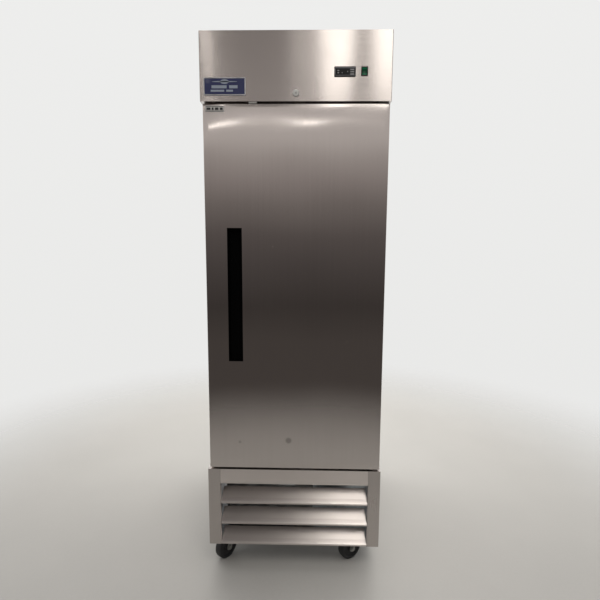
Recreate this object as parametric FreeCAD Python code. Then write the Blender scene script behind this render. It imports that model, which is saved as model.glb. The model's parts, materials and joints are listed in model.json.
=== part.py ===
"""Single-door reach-in refrigerator on casters, in millimetres.

+Z is up, the front faces -Y and +X is to the right of a person who faces the door.
The origin is on the floor, under the middle of the cabinet.
"""
import FreeCAD, Part
import math
import os

V = FreeCAD.Vector

# Overall sizes
WIDTH = 680.0
DEPTH = 850.0
HEIGHT = 2067.0
HALF = WIDTH / 2
BACK = DEPTH / 2
LOCK_PROUD = 4.0
FACE = -BACK + LOCK_PROUD       # front of the header, the door and the grille
FRAME = -354.0                  # front of the door frame, where the gasket seals

# Levels
BASE_BOTTOM = 125.0
BASE_TOP = 446.0
DOOR_BOTTOM = 453.0
DOOR_TOP = 1823.0
HEADER_BOTTOM = 1831.0
OPENING_BOTTOM = 490.0
OPENING_TOP = 1790.0
CEILING = 2012.0

# Sheet and walls
SHEET = 1.2
LINER = 1.0
CAVITY = 284.0                  # half the width of the foamed cavity
CAVITY_BACK = 370.0
SOFFIT_BACK = -298.0            # back of the foamed wall above the door opening
FOLD = 2.5                      # outside radius of a folded edge

# Door
DOOR_LEFT = -331.0
DOOR_RIGHT = 335.0
DOOR_BACK = -366.0
PULL_LEFT = -249.0
PULL_RIGHT = -197.0
PULL_BOTTOM = 885.0
PULL_TOP = 1386.0
PULL_DEPTH = 30.0
PULL_WALL = 2.0
GASKET_OUT = 316.0
GASKET_IN = 297.5
GASKET_GAP = 0.4
GASKET_BOTTOM = 458.0
GASKET_TOP = 1820.0

# Hinges
HINGE_X = 320.0
HINGE_Y = -388.0
PIN_R = 5.0
BUSH_R = 8.0
BUSH_LENGTH = 24.0
FLANGE = 1.3
RUNNING = 0.05                  # radial clearance of a pin in its bush
LOOSE = 0.2                     # radial clearance of a fixed round part in its hole
OVER = 1.0                      # how far a cutter runs past a face

# Header fittings
BADGE = (-325.0, -176.0, 1851.0, 1911.0)
CONTROL = (136.0, 211.0, 1912.0, 1946.0)
DISPLAY = (141.0, 186.0, 1919.0, 1938.5)
BUTTON_SIDES = (191.0, 206.0)
BUTTON_HEIGHT = 5.0
BUTTON_PITCH = 7.6
BUTTON_FIRST = 1917.6
ROCKER = (230.0, 254.0, 1915.0, 1946.0)
ROCKER_TILT = 6.0
LOCK_X = 2.0
LOCK_Z = 1858.0
LOCK_BODY_R = 10.5
CAM_REACH = 47.0
CAM_HALF = 7.0
CAM_BACK = 30.0                 # from the header's face to the cam
CAM_THICK = 3.0
CAM_CLEAR = 2.0
CAM_NOTCH = 1800.0              # bottom of the notch in the door that the cam drops into

# Grille
STILE = 48.0
RAIL_BOTTOM = 386.0
BLADE_PITCH = 87.5
BLADES = 3

# Shelves and pilasters
SHELF_LEVELS = {"shelf_lower": 820.0, "shelf_middle": 1150.0, "shelf_upper": 1480.0}
SHELF_HALF = 268.0
SHELF_FRONT = -318.0
SHELF_BACK = 338.0
PILASTER_X = 275.0
PILASTER_Y = (-320.0, 341.0)
PILASTER_WIDTH = 22.0

# Casters
WHEEL_R = 50.0
WHEEL_WIDTH = 32.0
AXLE_R = 6.0
LEAD = 40.0                     # swivel axis to wheel centre
PLATE = 4.0
CUP = 7.0                       # bearing cup under the top plate
CASTERS = {                     # swivel axis x and y, and the heading of the trailing wheel
    "front_left": (-268.0, -294.0, 233.0),
    "front_right": (268.0, -294.0, 213.0),
    "rear_left": (-268.0, 330.0, -20.0),
    "rear_right": (268.0, 330.0, 208.0),
}


def block(x, y, z):
    """A box from three (low, high) pairs."""
    return Part.makeBox(x[1] - x[0], y[1] - y[0], z[1] - z[0], V(x[0], y[0], z[0]))


def plate(outline, y):
    """A box from an (x low, x high, z low, z high) outline and a (front, back) pair."""
    return block(outline[:2], y, outline[2:])


def inset(outline, gap):
    """An x and z outline made smaller by gap on all four sides."""
    left, right, low, high = outline
    return (left + gap, right - gap, low + gap, high - gap)


def rod(start, along, radius):
    """A round bar from start along a vector."""
    return Part.makeCylinder(radius, along.Length, start, along)


def prism(points, along):
    """A polygon's face pushed along a vector."""
    return Part.Face(Part.makePolygon(points + points[:1])).extrude(along)


def fuse(shapes):
    """Several overlapping or touching shapes as one clean solid."""
    return shapes[0].multiFuse(shapes[1:]).removeSplitter()


def edges_along(shape, direction, test):
    """The straight edges along a direction whose middle passes a test."""
    found = []
    for edge in shape.Edges:
        ends = [vertex.Point for vertex in edge.Vertexes]
        if len(ends) < 2:
            continue
        run = ends[1] - ends[0]
        if run.Length > 0 and abs(run.normalize().dot(direction)) > 0.999:
            if test((ends[0] + ends[1]) * 0.5):
                found.append(edge)
    return found


def mirror_x(shape):
    """The same shape on the other side of the middle plane."""
    return shape.mirror(V(0, 0, 0), V(1, 0, 0))


def save(name, *solids):
    """Writes one node from its solids."""
    shape = solids[0] if len(solids) == 1 else Part.makeCompound(list(solids))
    shape.exportStep(f"parts/{name}.step")


# Cabinet ----------------------------------------------------------------------------------------

def side_panel():
    """The right outer side, a full-height sheet."""
    return block((HALF - SHEET, HALF), (FRAME, BACK), (BASE_BOTTOM, HEIGHT))


def cabinet_shell():
    """The outer sheets of the cabinet."""
    inside = HALF - SHEET
    save("side_panel_right", side_panel())
    save("side_panel_left", mirror_x(side_panel()))
    save("back_panel", block((-inside, inside), (BACK - SHEET, BACK), (BASE_TOP, HEIGHT)))
    level = (FRAME, BACK - SHEET)
    save("top_panel", block((-inside, inside), level, (HEIGHT - SHEET, HEIGHT)))
    save("bottom_panel", block((-inside, inside), level, (BASE_TOP, BASE_TOP + SHEET)))


def door_frame():
    """Four flat bars round the opening, which the gasket seals on."""
    edge = 290.0
    thick = (FRAME, FRAME + SHEET)
    low = BASE_TOP + SHEET
    high = HEIGHT - SHEET
    stile = block((edge, HALF - SHEET), thick, (low, high))
    reveal = 6.0
    sill = block((-edge, edge), thick, (low, OPENING_BOTTOM - reveal))
    lintel = block((-edge, edge), thick, (OPENING_TOP + reveal, high))
    save("door_frame", stile, mirror_x(stile), sill, lintel)


def insulation():
    """Foam between the outer sheets and the liner, as the six slabs that it fills."""
    outer = HALF - SHEET
    front = FRAME + SHEET
    back = BACK - SHEET
    low = BASE_TOP + SHEET
    high = HEIGHT - SHEET
    side = block((CAVITY, outer), (front, back), (low, high))
    rear = block((-CAVITY, CAVITY), (CAVITY_BACK, back), (low, high))
    floor = block((-CAVITY, CAVITY), (front, CAVITY_BACK), (low, OPENING_BOTTOM))
    roof = block((-CAVITY, CAVITY), (front, CAVITY_BACK), (CEILING, high))
    inner = CAVITY - LINER
    soffit_z = (OPENING_TOP + LINER, CEILING - LINER)
    soffit = block((-inner, inner), (front, SOFFIT_BACK - LINER), soffit_z)
    save("cabinet_insulation", side, mirror_x(side), rear, floor, roof, soffit)


def liner():
    """The thin inner box, open at the front below the soffit."""
    front = FRAME + SHEET
    inner = CAVITY - LINER
    outside = block((-CAVITY, CAVITY), (front, CAVITY_BACK), (OPENING_BOTTOM, CEILING))
    hollow_z = (OPENING_BOTTOM + LINER, CEILING - LINER)
    hollow = block((-inner, inner), (front - OVER, CAVITY_BACK - LINER), hollow_z)
    soffit = block((-inner, inner), (front, SOFFIT_BACK), (OPENING_TOP, OPENING_TOP + LINER))
    apron_y = (SOFFIT_BACK - LINER, SOFFIT_BACK)
    apron = block((-inner, inner), apron_y, (OPENING_TOP, CEILING - LINER))
    save("inner_liner", fuse([outside.cut(hollow), soffit, apron]))


def breaker_strips():
    """Four angle strips that cover the joint of the frame and the liner."""
    thick = 1.2
    inner = CAVITY - LINER - thick
    outer = 294.0
    depth = 20.0
    low = OPENING_BOTTOM + LINER
    high = OPENING_TOP
    lap = outer - CAVITY + LINER
    face_y = (FRAME - thick, FRAME)
    leg_y = (FRAME - thick, FRAME + depth)
    upright_z = (low + thick, high - thick)
    face = block((inner, outer), face_y, upright_z)
    leg = block((inner, inner + thick), leg_y, upright_z)
    upright = fuse([face, leg])
    span = (-outer, outer)
    short = (-inner - thick, inner + thick)
    foot_face = block(span, face_y, (low - lap, low + thick))
    foot = fuse([foot_face, block(short, leg_y, (low, low + thick))])
    head_face = block(span, face_y, (high - thick, high + lap))
    head = fuse([head_face, block(short, leg_y, (high - thick, high))])
    save("breaker_strips", upright, mirror_x(upright), foot, head)


def pilasters():
    """Four slotted uprights that carry the shelf clips."""
    thick = 1.5
    depth = 8.0
    low, high = 505.0, 1780.0
    pitch = 50.8
    slot_half = 5.0
    slot_tall = 4.0
    half = PILASTER_WIDTH / 2
    made = []
    for y in PILASTER_Y:
        outer = block((PILASTER_X, PILASTER_X + depth), (y - half, y + half), (low, high))
        channel_y = (y - half + thick, y + half - thick)
        channel = block((PILASTER_X + thick, PILASTER_X + depth), channel_y, (low, high))
        slot_x = (PILASTER_X - OVER, PILASTER_X + thick + OVER)
        slot_y = (y - slot_half, y + slot_half)
        slots = []
        for number in range(int((high - low) / pitch)):
            z = low + pitch * (number + 0.5)
            slots.append(block(slot_x, slot_y, (z, z + slot_tall)))
        upright = outer.cut(channel).cut(Part.makeCompound(slots))
        made += [upright, mirror_x(upright)]
    save("shelf_pilasters", *made)


def shelf_clips():
    """Twelve bent clips, one under each shelf corner."""
    thick = 2.0
    reach = 16.0
    half = 7.0
    drop = 14.0
    made = []
    for level in SHELF_LEVELS.values():
        for y in PILASTER_Y:
            wide = (y - half, y + half)
            tall = block((PILASTER_X - thick, PILASTER_X), wide, (level - drop, level))
            ledge = block((PILASTER_X - reach, PILASTER_X), wide, (level - thick, level))
            clip = fuse([tall, ledge])
            made += [clip, mirror_x(clip)]
    save("shelf_clips", *made)


def wire_shelf():
    """A welded wire shelf, its underside on the level z = 0."""
    frame_r = 3.5
    wire_r = 1.7
    cross_r = 2.6
    weld = 0.6
    wires = 23
    wire_out = 2.5                  # how far a wire ends past the middle of the frame rod
    left, right = -SHELF_HALF + frame_r, SHELF_HALF - frame_r
    front, back = SHELF_FRONT + frame_r, SHELF_BACK - frame_r
    corners = [V(x, y, frame_r) for x, y in ((left, front), (right, front), (right, back), (left, back))]
    rods = [Part.makeSphere(frame_r, corner) for corner in corners]
    for start, end in zip(corners, corners[1:] + corners[:1]):
        rods.append(rod(start, end - start, frame_r))
    wire_z = 2 * frame_r + wire_r - weld
    for number in range(wires):
        x = left + (right - left) * (number + 1) / (wires + 1)
        rods.append(rod(V(x, front - wire_out, wire_z), V(0, back - front + 2 * wire_out, 0), wire_r))
    cross_z = wire_z - wire_r - cross_r + weld
    for share in (0.25, 0.5, 0.75):
        y = front + (back - front) * share
        rods.append(rod(V(left, y, cross_z), V(right - left, 0, 0), cross_r))
    return fuse(rods)


def shelves():
    """Three equal shelves, each on its clips."""
    pattern = wire_shelf()
    for name, level in SHELF_LEVELS.items():
        save(name, pattern.translated(V(0, 0, level)))


# Evaporator -------------------------------------------------------------------------------------

EVAPORATOR = {"x": (-260.0, 260.0), "y": (-285.0, 345.0), "z": (1802.0, 2008.0)}
EVAPORATOR_FAN = V(0, -150, 1866)
EVAPORATOR_FAN_R = 100.0
LAMP = {"x": (-150.0, 150.0), "y": (-280.0, -248.0), "z": (1788.0, 1802.0)}


def evaporator_cover():
    """The white air duct under the ceiling, with a fan mouth below and slots at the back."""
    slots = 8
    slot_first = 120.0
    slot_pitch = 24.0
    slot_wide = 8.0
    slot_half = 200.0
    x, y, z = EVAPORATOR["x"], EVAPORATOR["y"], EVAPORATOR["z"]
    inner_z = (z[0] + SHEET, z[1] + OVER)
    inner = block((x[0] + SHEET, x[1] - SHEET), (y[0] + SHEET, y[1] - SHEET), inner_z)
    shell = block(x, y, z).cut(inner)
    through = (z[0] - OVER, z[0] + SHEET + OVER)
    mouth = V(EVAPORATOR_FAN.x, EVAPORATOR_FAN.y, through[0])
    cuts = [rod(mouth, V(0, 0, through[1] - through[0]), EVAPORATOR_FAN_R)]
    for row in range(slots):
        front = slot_first + slot_pitch * row
        cuts.append(block((-slot_half, slot_half), (front, front + slot_wide), through))
    return shell.cut(Part.makeCompound(cuts))


def evaporator_coil():
    """A block of fins on six tubes."""
    fins = 26
    pitch = 16.0
    fin_half = 0.4
    y = (90.0, 230.0)
    z = (1835.0, 1975.0)
    tube_r = 5.0
    tube_out = 12.0
    left = -pitch * (fins - 1) / 2
    shapes = []
    for number in range(fins):
        x = left + pitch * number
        shapes.append(block((x - fin_half, x + fin_half), y, z))
    for up in (0.2, 0.5, 0.8):
        for along in (0.3, 0.7):
            start = V(left - tube_out, y[0] + (y[1] - y[0]) * along, z[0] + (z[1] - z[0]) * up)
            shapes.append(rod(start, V(2 * (tube_out - left), 0, 0), tube_r))
    return fuse(shapes)


def fan_motor(centre, axis, radius, length, shaft_r):
    """A round motor whose front boss has a bore for the fan's shaft."""
    boss = 12.0
    boss_wall = 5.0
    body = rod(centre - axis * length, axis * length, radius)
    nose = rod(centre, axis * boss, shaft_r + boss_wall)
    bore = rod(centre - axis * boss, axis * (2 * boss + OVER), shaft_r + RUNNING)
    return fuse([body, nose]).cut(bore)


def fan_blade(centre, axis, across, radius, hub_r, shaft_r):
    """A hub with its shaft and twisted blades, in front of a motor's boss."""
    blades = 5
    gap = 14.0
    hub_length = 22.0
    shaft_in = 10.0
    thick = 1.6
    pitch = 28.0
    root = hub_r * 0.7
    chord = radius * 0.5
    start = centre + axis * gap
    hub = rod(start, axis * hub_length, hub_r)
    shaft = rod(centre - axis * shaft_in, axis * (shaft_in + gap + hub_length), shaft_r)
    shapes = [hub, shaft]
    middle = start + axis * (hub_length / 2)
    turn = FreeCAD.Placement(middle, FreeCAD.Rotation(across, axis.cross(across), axis, "ZXY"))
    for number in range(blades):
        leaf = Part.makeBox(chord, radius - root, thick, V(-chord / 2, root, -thick / 2))
        leaf.rotate(V(0, 0, 0), V(0, 1, 0), pitch)
        leaf.rotate(V(0, 0, 0), V(0, 0, 1), 360.0 * number / blades)
        leaf.transformShape(turn.toMatrix())
        shapes.append(leaf)
    return fuse(shapes)


def evaporator():
    """The cooling parts above the shelves."""
    down = V(0, 0, -1)
    shaft_r = 3.0
    round_off = 5.0
    save("evaporator_cover", evaporator_cover())
    save("evaporator_coil", evaporator_coil())
    motor = fan_motor(EVAPORATOR_FAN, down, radius=42.0, length=70.0, shaft_r=shaft_r)
    save("evaporator_fan_motor", motor)
    blade = fan_blade(EVAPORATOR_FAN, down, V(1, 0, 0), radius=88.0, hub_r=20.0, shaft_r=shaft_r)
    save("evaporator_fan_blade", blade)
    lamp = block(LAMP["x"], LAMP["y"], LAMP["z"])
    lower = edges_along(lamp, V(1, 0, 0), lambda p: p.z < LAMP["z"][0] + OVER)
    save("interior_light", lamp.makeFillet(round_off, lower))


# Header -----------------------------------------------------------------------------------------

def cam_sweep(depth):
    """How far the turning cam reaches across at a depth below the lock, with its clearance."""
    return math.sqrt((math.hypot(CAM_REACH, CAM_HALF) + CAM_CLEAR) ** 2 - depth ** 2)


def cam_slot(low, high):
    """The room that the turning cam needs between two levels."""
    across = (LOCK_X - CAM_HALF - CAM_CLEAR, LOCK_X + cam_sweep(LOCK_Z - high))
    y = (FACE + CAM_BACK - CAM_CLEAR, FACE + CAM_BACK + CAM_THICK + CAM_CLEAR)
    return block(across, y, (low, high))


def header_panel():
    """A folded pan with cut-outs for the control, the switch and the lock."""
    lap = 1.7                       # how far a bezel covers its cut-out's edge
    open_back = 5.0
    full = block((-HALF, HALF), (FACE, FRAME), (HEADER_BOTTOM, HEIGHT))
    front_edges = edges_along(full, V(0, 0, 1), lambda p: p.y < FACE + OVER)
    full = full.makeFillet(FOLD, front_edges)
    inside = HALF - SHEET
    hollow_z = (HEADER_BOTTOM + SHEET, HEIGHT - SHEET)
    pan = full.cut(block((-inside, inside), (FACE + SHEET, FRAME + OVER), hollow_z))
    below = (HEADER_BOTTOM - OVER, HEADER_BOTTOM + SHEET)
    under = block((-inside, inside), (FRAME - open_back, FRAME + OVER), below)
    through = (FACE - OVER, FACE + SHEET + OVER)
    cuts = [under, plate(inset(CONTROL, lap), through), plate(inset(ROCKER, lap), through)]
    lock_at = V(LOCK_X, through[0], LOCK_Z)
    cuts.append(rod(lock_at, V(0, through[1] - through[0], 0), LOCK_BODY_R + LOOSE))
    cuts.append(cam_slot(below[0], below[1] + OVER))
    return pan.cut(Part.makeCompound(cuts))


def badge_plate():
    """A thin rounded name plate."""
    thick = 2.0
    corner = 4.0
    made = plate(BADGE, (FACE - thick, FACE))
    return made.makeFillet(corner, edges_along(made, V(0, 1, 0), lambda p: True))


def button_outlines():
    """The x and z outline of each of the three buttons, from the lowest."""
    found = []
    for number in range(3):
        low = BUTTON_FIRST + BUTTON_PITCH * number
        found.append((*BUTTON_SIDES, low, low + BUTTON_HEIGHT))
    return found


def controller():
    """The temperature controller: a bezel with its case, a display and three buttons."""
    proud = 2.6
    corner = 2.0
    case_in = 2.0
    case_short = 2.0
    window_deep = 1.6
    lens_back = 0.2
    clearance = 0.2
    travel = 1.2
    key_out = 1.0
    key_deep = 5.4
    key_corner = 0.8
    face = FACE - proud
    bezel = plate(CONTROL, (face, FACE))
    bezel = bezel.makeFillet(corner, edges_along(bezel, V(0, 1, 0), lambda p: True))
    case = plate(inset(CONTROL, case_in), (FACE, FRAME - case_short))
    body = fuse([bezel, case]).cut(plate(DISPLAY, (face - OVER, face + window_deep)))
    pocket_back = face + key_deep + clearance + travel
    for outline in button_outlines():
        body = body.cut(plate(inset(outline, -clearance), (face - OVER, pocket_back)))
    save("controller_bezel", body)
    save("controller_display", plate(DISPLAY, (face + lens_back, face + window_deep)))
    for name, outline in zip(("button_set", "button_down", "button_up"), button_outlines()):
        key = plate(outline, (face - key_out, face + key_deep))
        save(name, key.makeFillet(key_corner, edges_along(key, V(1, 0, 0), lambda p: p.y < face)))


def power_switch():
    """The rocker switch and its frame."""
    proud = 2.0
    wall = 3.2
    corner = 1.5
    case_in = 2.0
    case_deep = 24.0
    pocket_back = FACE + 9
    pivot_back = 2.0
    side_gap = 0.3
    end_gap = 0.9
    crest = 3.8
    dip = 2.6
    root = 5.0
    root_in = 2.4
    rim = plate(ROCKER, (FACE - proud, FACE))
    rim = rim.makeFillet(corner, edges_along(rim, V(0, 1, 0), lambda p: True))
    case = plate(inset(ROCKER, case_in), (FACE, FACE + case_deep))
    pocket = inset(ROCKER, wall)
    save("rocker_frame", fuse([rim, case]).cut(plate(pocket, (FACE - proud - OVER, pocket_back))))
    pivot = V(0, FACE + pivot_back, (ROCKER[2] + ROCKER[3]) / 2)
    half = (pocket[3] - pocket[2]) / 2 - end_gap
    side = (pocket[0] + side_gap, pocket[1] - side_gap)
    points = [(half, -crest), (0.0, -dip), (-half, -crest), (root_in - half, root), (half - root_in, root)]
    profile = [V(side[0], pivot.y + y, pivot.z + z) for z, y in points]
    rocker = prism(profile, V(side[1] - side[0], 0, 0))
    rocker.rotate(pivot, V(1, 0, 0), ROCKER_TILT)
    save("rocker_switch", rocker)


def lock():
    """A key lock: a barrel in the header and a turning plug that carries the cam."""
    ring_r = 12.0
    ring_out = 2.5
    body_length = 25.0
    plug_r = 7.0
    plug_length = 40.0
    plug_fit = 0.08
    disc_r = 9.8
    disc_thick = 5.5
    disc_fit = 0.1
    key_half = 1.2
    key_tall = 5.0
    key_deep = 4.0
    back = V(0, 1, 0)
    start = V(LOCK_X, FACE - ring_out, LOCK_Z)
    head = rod(start, back * ring_out, ring_r)
    body = rod(start, back * (ring_out + body_length), LOCK_BODY_R)
    bore = rod(start - back, back * (body_length + ring_out + 2 * OVER), plug_r + plug_fit)
    seat = rod(start - back, back * disc_thick, disc_r + disc_fit)
    save("lock_barrel", fuse([head, body]).cut(bore).cut(seat))
    tip = V(LOCK_X, -BACK, LOCK_Z)
    disc = rod(tip, back * disc_thick, disc_r)
    shaft = rod(tip, back * plug_length, plug_r)
    slot_x = (LOCK_X - key_half, LOCK_X + key_half)
    slot = block(slot_x, (-BACK - OVER, key_deep - BACK), (LOCK_Z - key_tall, LOCK_Z + key_tall))
    cam_y = (FACE + CAM_BACK, FACE + CAM_BACK + CAM_THICK)
    cam_x = (LOCK_X + plug_r - OVER, LOCK_X + CAM_REACH)
    cam = block(cam_x, cam_y, (LOCK_Z - CAM_HALF, LOCK_Z + CAM_HALF))
    save("lock_plug", fuse([fuse([disc, shaft]).cut(slot), cam]))


def door_sensor():
    """The pale body in the gap above the door."""
    air = 2.2                       # between the door's top and the sensor
    return block((-166, -138), (FACE + 3, FACE + 23), (DOOR_TOP + air, HEADER_BOTTOM))


def header():
    """Everything above the door."""
    save("header_panel", header_panel())
    save("badge_plate", badge_plate())
    controller()
    power_switch()
    lock()
    save("door_sensor", door_sensor())


# Door -------------------------------------------------------------------------------------------

def pull_opening(gap):
    """The x and z outline of the handle pocket, larger by gap."""
    return inset((PULL_LEFT, PULL_RIGHT, PULL_BOTTOM, PULL_TOP), -gap)


def bush_holes(clearance):
    """Holes for the two hinge bushes."""
    hole = V(0, 0, BUSH_LENGTH + 2 * OVER)
    radius = BUSH_R + clearance
    low = rod(V(HINGE_X, HINGE_Y, DOOR_BOTTOM - OVER), hole, radius)
    high = rod(V(HINGE_X, HINGE_Y, DOOR_TOP + OVER), -hole, radius)
    return Part.makeCompound([low, high])


def cam_notch():
    """The slot in the door's top that the lock's cam drops into."""
    return cam_slot(CAM_NOTCH, DOOR_TOP + OVER)


def door_skin():
    """A folded stainless pan, open at the back."""
    fit = 0.1
    full = block((DOOR_LEFT, DOOR_RIGHT), (FACE, DOOR_BACK), (DOOR_BOTTOM, DOOR_TOP))
    front = edges_along(full, V(0, 0, 1), lambda p: p.y < FACE + OVER)
    front += edges_along(full, V(1, 0, 0), lambda p: p.y < FACE + OVER)
    full = full.makeFillet(FOLD, front)
    inner_z = (DOOR_BOTTOM + SHEET, DOOR_TOP - SHEET)
    hollow = block((DOOR_LEFT + SHEET, DOOR_RIGHT - SHEET), (FACE + SHEET, DOOR_BACK + OVER), inner_z)
    pull = plate(pull_opening(0), (FACE - OVER, FACE + SHEET + OVER))
    return full.cut(hollow).cut(pull).cut(bush_holes(fit)).cut(cam_notch())


def door_insulation():
    """Foam in the door, as the slabs round and behind the handle pocket."""
    fit = 0.3
    y = (FACE + SHEET, DOOR_BACK)
    z = (DOOR_BOTTOM + SHEET, DOOR_TOP - SHEET)
    left, right, low, high = pull_opening(PULL_WALL)
    latch_side = block((DOOR_LEFT + SHEET, left), y, z)
    hinge_side = block((right, DOOR_RIGHT - SHEET), y, z)
    hinge_side = hinge_side.cut(bush_holes(fit)).cut(cam_notch())
    above = block((left, right), y, (high, z[1]))
    below = block((left, right), y, (z[0], low))
    behind = block((left, right), (FACE + PULL_DEPTH, DOOR_BACK), (low, high))
    save("door_insulation", latch_side, hinge_side, above, below, behind)


def door_inner_panel():
    """The flat inner sheet with a raised panel that enters the opening."""
    side = 262.0
    slope = 14.0
    rise = 20.0
    margin = 22.0
    sheet_z = (DOOR_BOTTOM + SHEET, DOOR_TOP - SHEET)
    front = DOOR_BACK + SHEET
    sheet = block((DOOR_LEFT + SHEET, DOOR_RIGHT - SHEET), (DOOR_BACK, front), sheet_z)
    z = (OPENING_BOTTOM + margin, OPENING_TOP - margin)
    base = [V(-side, front, z[0]), V(side, front, z[0]), V(side, front, z[1]), V(-side, front, z[1])]
    top = []
    for p in base:
        inward = slope if p.z == z[0] else -slope
        top.append(V(p.x - math.copysign(slope, p.x), p.y + rise, p.z + inward))
    wires = [Part.makePolygon(ring + ring[:1]) for ring in (base, top)]
    return fuse([sheet, Part.makeLoft(wires, True, True)])


def handle_pocket():
    """A black moulded cup set into the door, with a thin rim."""
    rim_out = 0.5
    neck_wall = 1.0
    left, right, low, high = pull_opening(PULL_WALL)
    back = FACE + PULL_DEPTH
    cup = block((left, right), (FACE + SHEET, back), (low, high))
    neck = plate(pull_opening(0), (FACE - rim_out, FACE + SHEET))
    hollow = plate(pull_opening(-neck_wall), (FACE - rim_out - OVER, back - PULL_WALL))
    return fuse([cup, neck]).cut(hollow)


def gasket():
    """A magnetic seal, as a mitred frame with a folded section."""
    y = (DOOR_BACK + SHEET, FRAME - GASKET_GAP)
    width = GASKET_OUT - GASKET_IN
    outer = block((-GASKET_OUT, GASKET_OUT), y, (GASKET_BOTTOM, GASKET_TOP))
    inner_z = (GASKET_BOTTOM + width, GASKET_TOP - width)
    inner = block((-GASKET_IN, GASKET_IN), (y[0] - OVER, y[1] + OVER), inner_z)
    return outer.cut(inner)


def bushes():
    """The two flanged hinge bushes in the door."""
    flange_out = 4.0
    under = V(HINGE_X, HINGE_Y, DOOR_BOTTOM - FLANGE)
    low = rod(under, V(0, 0, BUSH_LENGTH + FLANGE), BUSH_R)
    low_flange = rod(under, V(0, 0, FLANGE), BUSH_R + flange_out)
    low_bore = rod(under - V(0, 0, OVER), V(0, 0, BUSH_LENGTH), PIN_R + RUNNING)
    bottom = fuse([low, low_flange]).cut(low_bore)
    top = bottom.mirror(V(0, 0, (DOOR_BOTTOM + DOOR_TOP) / 2), V(0, 0, 1))
    return bottom, top


def hinges():
    """The brackets, each a plate with its pin."""
    thick = 3.6
    corner = 10.0
    header_gap = 0.8
    leg_top = HEADER_BOTTOM + 40
    pin_length = V(0, 0, BUSH_LENGTH - 2)
    reach = (HINGE_Y - 14, FRAME)
    span = (296.0, HALF - SHEET - 2)
    low_z = (BASE_TOP, BASE_TOP + thick)
    foot = block(span, reach, low_z)
    foot = foot.makeFillet(corner, edges_along(foot, V(0, 0, 1), lambda p: p.y < HINGE_Y))
    pin = rod(V(HINGE_X, HINGE_Y, low_z[1] - OVER), pin_length, PIN_R)
    save("hinge_bracket_bottom", fuse([foot, pin]))
    high_z = (HEADER_BOTTOM - header_gap - thick, HEADER_BOTTOM - header_gap)
    arm = block(span, reach, high_z)
    arm = arm.makeFillet(corner, edges_along(arm, V(0, 0, 1), lambda p: p.y < HINGE_Y))
    leg = block(span, (FRAME - thick, FRAME), (high_z[0], leg_top))
    high_pin = rod(V(HINGE_X, HINGE_Y, high_z[0] + OVER), -pin_length, PIN_R)
    save("hinge_bracket_top", fuse([arm, leg, high_pin]))


def door():
    """The door and what it hangs on."""
    save("door_skin", door_skin())
    door_insulation()
    save("door_inner_panel", door_inner_panel())
    save("handle_pocket", handle_pocket())
    save("door_gasket", gasket())
    save("hinge_bushes", *bushes())
    hinges()


# Grille -----------------------------------------------------------------------------------------

def grille_stile():
    """The right upright of the grille, folded from one sheet."""
    lip_deep = 16.0
    fold = 1.0
    z = (BASE_BOTTOM, BASE_TOP)
    inner = HALF - STILE
    front = block((inner, HALF), (FACE, FACE + SHEET), z)
    cheek = block((HALF - SHEET, HALF), (FACE, FRAME), z)
    lip = block((inner, inner + SHEET), (FACE, FACE + lip_deep), (BASE_BOTTOM, BASE_TOP - SHEET))
    stile = fuse([front, cheek, lip])
    return stile.makeFillet(fold, edges_along(stile, V(0, 0, 1), lambda p: p.y < FACE + SHEET / 2))


def grille_rail():
    """The top rail of the grille, whose top fold is the ledge under the door."""
    gap = 0.3
    lip_deep = 14.0
    lip_in = 2.0
    inner = HALF - STILE - gap
    deep = HALF - SHEET
    front = block((-inner, inner), (FACE, FACE + SHEET), (RAIL_BOTTOM, BASE_TOP))
    ledge = block((-deep, deep), (FACE + SHEET, FRAME), (BASE_TOP - SHEET, BASE_TOP))
    lip_z = (RAIL_BOTTOM, RAIL_BOTTOM + SHEET)
    lip = block((lip_in - inner, inner - lip_in), (FACE, FACE + lip_deep), lip_z)
    return fuse([front, ledge, lip])


def blade_outline(level):
    """The section of a louvre blade in y and z, a sheet with a folded hem."""
    outer = [(0.0, 0.0), (0.0, 7.0), (3.0, 10.5), (17.0, 17.5), (54.0, 43.5)]
    thick = SHEET
    inner = [(55.0, 42.2), (17.8, 16.1), (4.0, 9.2), (thick, 6.4), (thick, thick), (10.0, thick), (10.0, 0.0)]
    return [(FACE + y, level + z) for y, z in outer + inner]


def grille_blades():
    """Three louvre blades, narrower at the back than at the hem."""
    gap = 0.6
    taper = 4.0
    wedge_front = FACE + 4
    wedge_back = FACE + 60
    tall = 60.0
    half = HALF - STILE - gap
    made = []
    for number in range(BLADES):
        level = BASE_BOTTOM + BLADE_PITCH * number
        outline = [V(-half, y, z) for y, z in blade_outline(level)]
        blade = prism(outline, V(2 * half, 0, 0))
        corners = [(half, wedge_front), (half + OVER, wedge_front), (half + OVER, wedge_back),
                   (half - taper, wedge_back)]
        trim = prism([V(x, y, level - OVER) for x, y in corners], V(0, 0, tall))
        made.append(blade.cut(trim).cut(mirror_x(trim)))
    return made


def grille():
    """The louvred front of the machine compartment."""
    save("grille_stiles", grille_stile(), mirror_x(grille_stile()))
    save("grille_top_rail", grille_rail())
    save("grille_blades", *grille_blades())


# Machine compartment ----------------------------------------------------------------------------

DECK = BASE_BOTTOM + 2.0
COMPRESSOR = V(150, 190, DECK)
COMPRESSOR_FOOT = 28.0          # underside of the pot above the deck
SUCTION_PORT = V(-60, 40, 0)
DISCHARGE_PORT = V(-50, -50, 0)
PORT_TOP = 232.0
CONDENSER_X = (-285.0, 75.0)
CONDENSER_Y = (-300.0, -235.0)
CONDENSER_Z = (140.0, 420.0)
CONDENSER_FAN = V(-105, -160, 280)


def round_rims(shape, radius):
    """Rounds a round bar's two end rims."""
    return shape.makeFillet(radius, [edge for edge in shape.Edges if len(edge.Vertexes) == 1])


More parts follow.
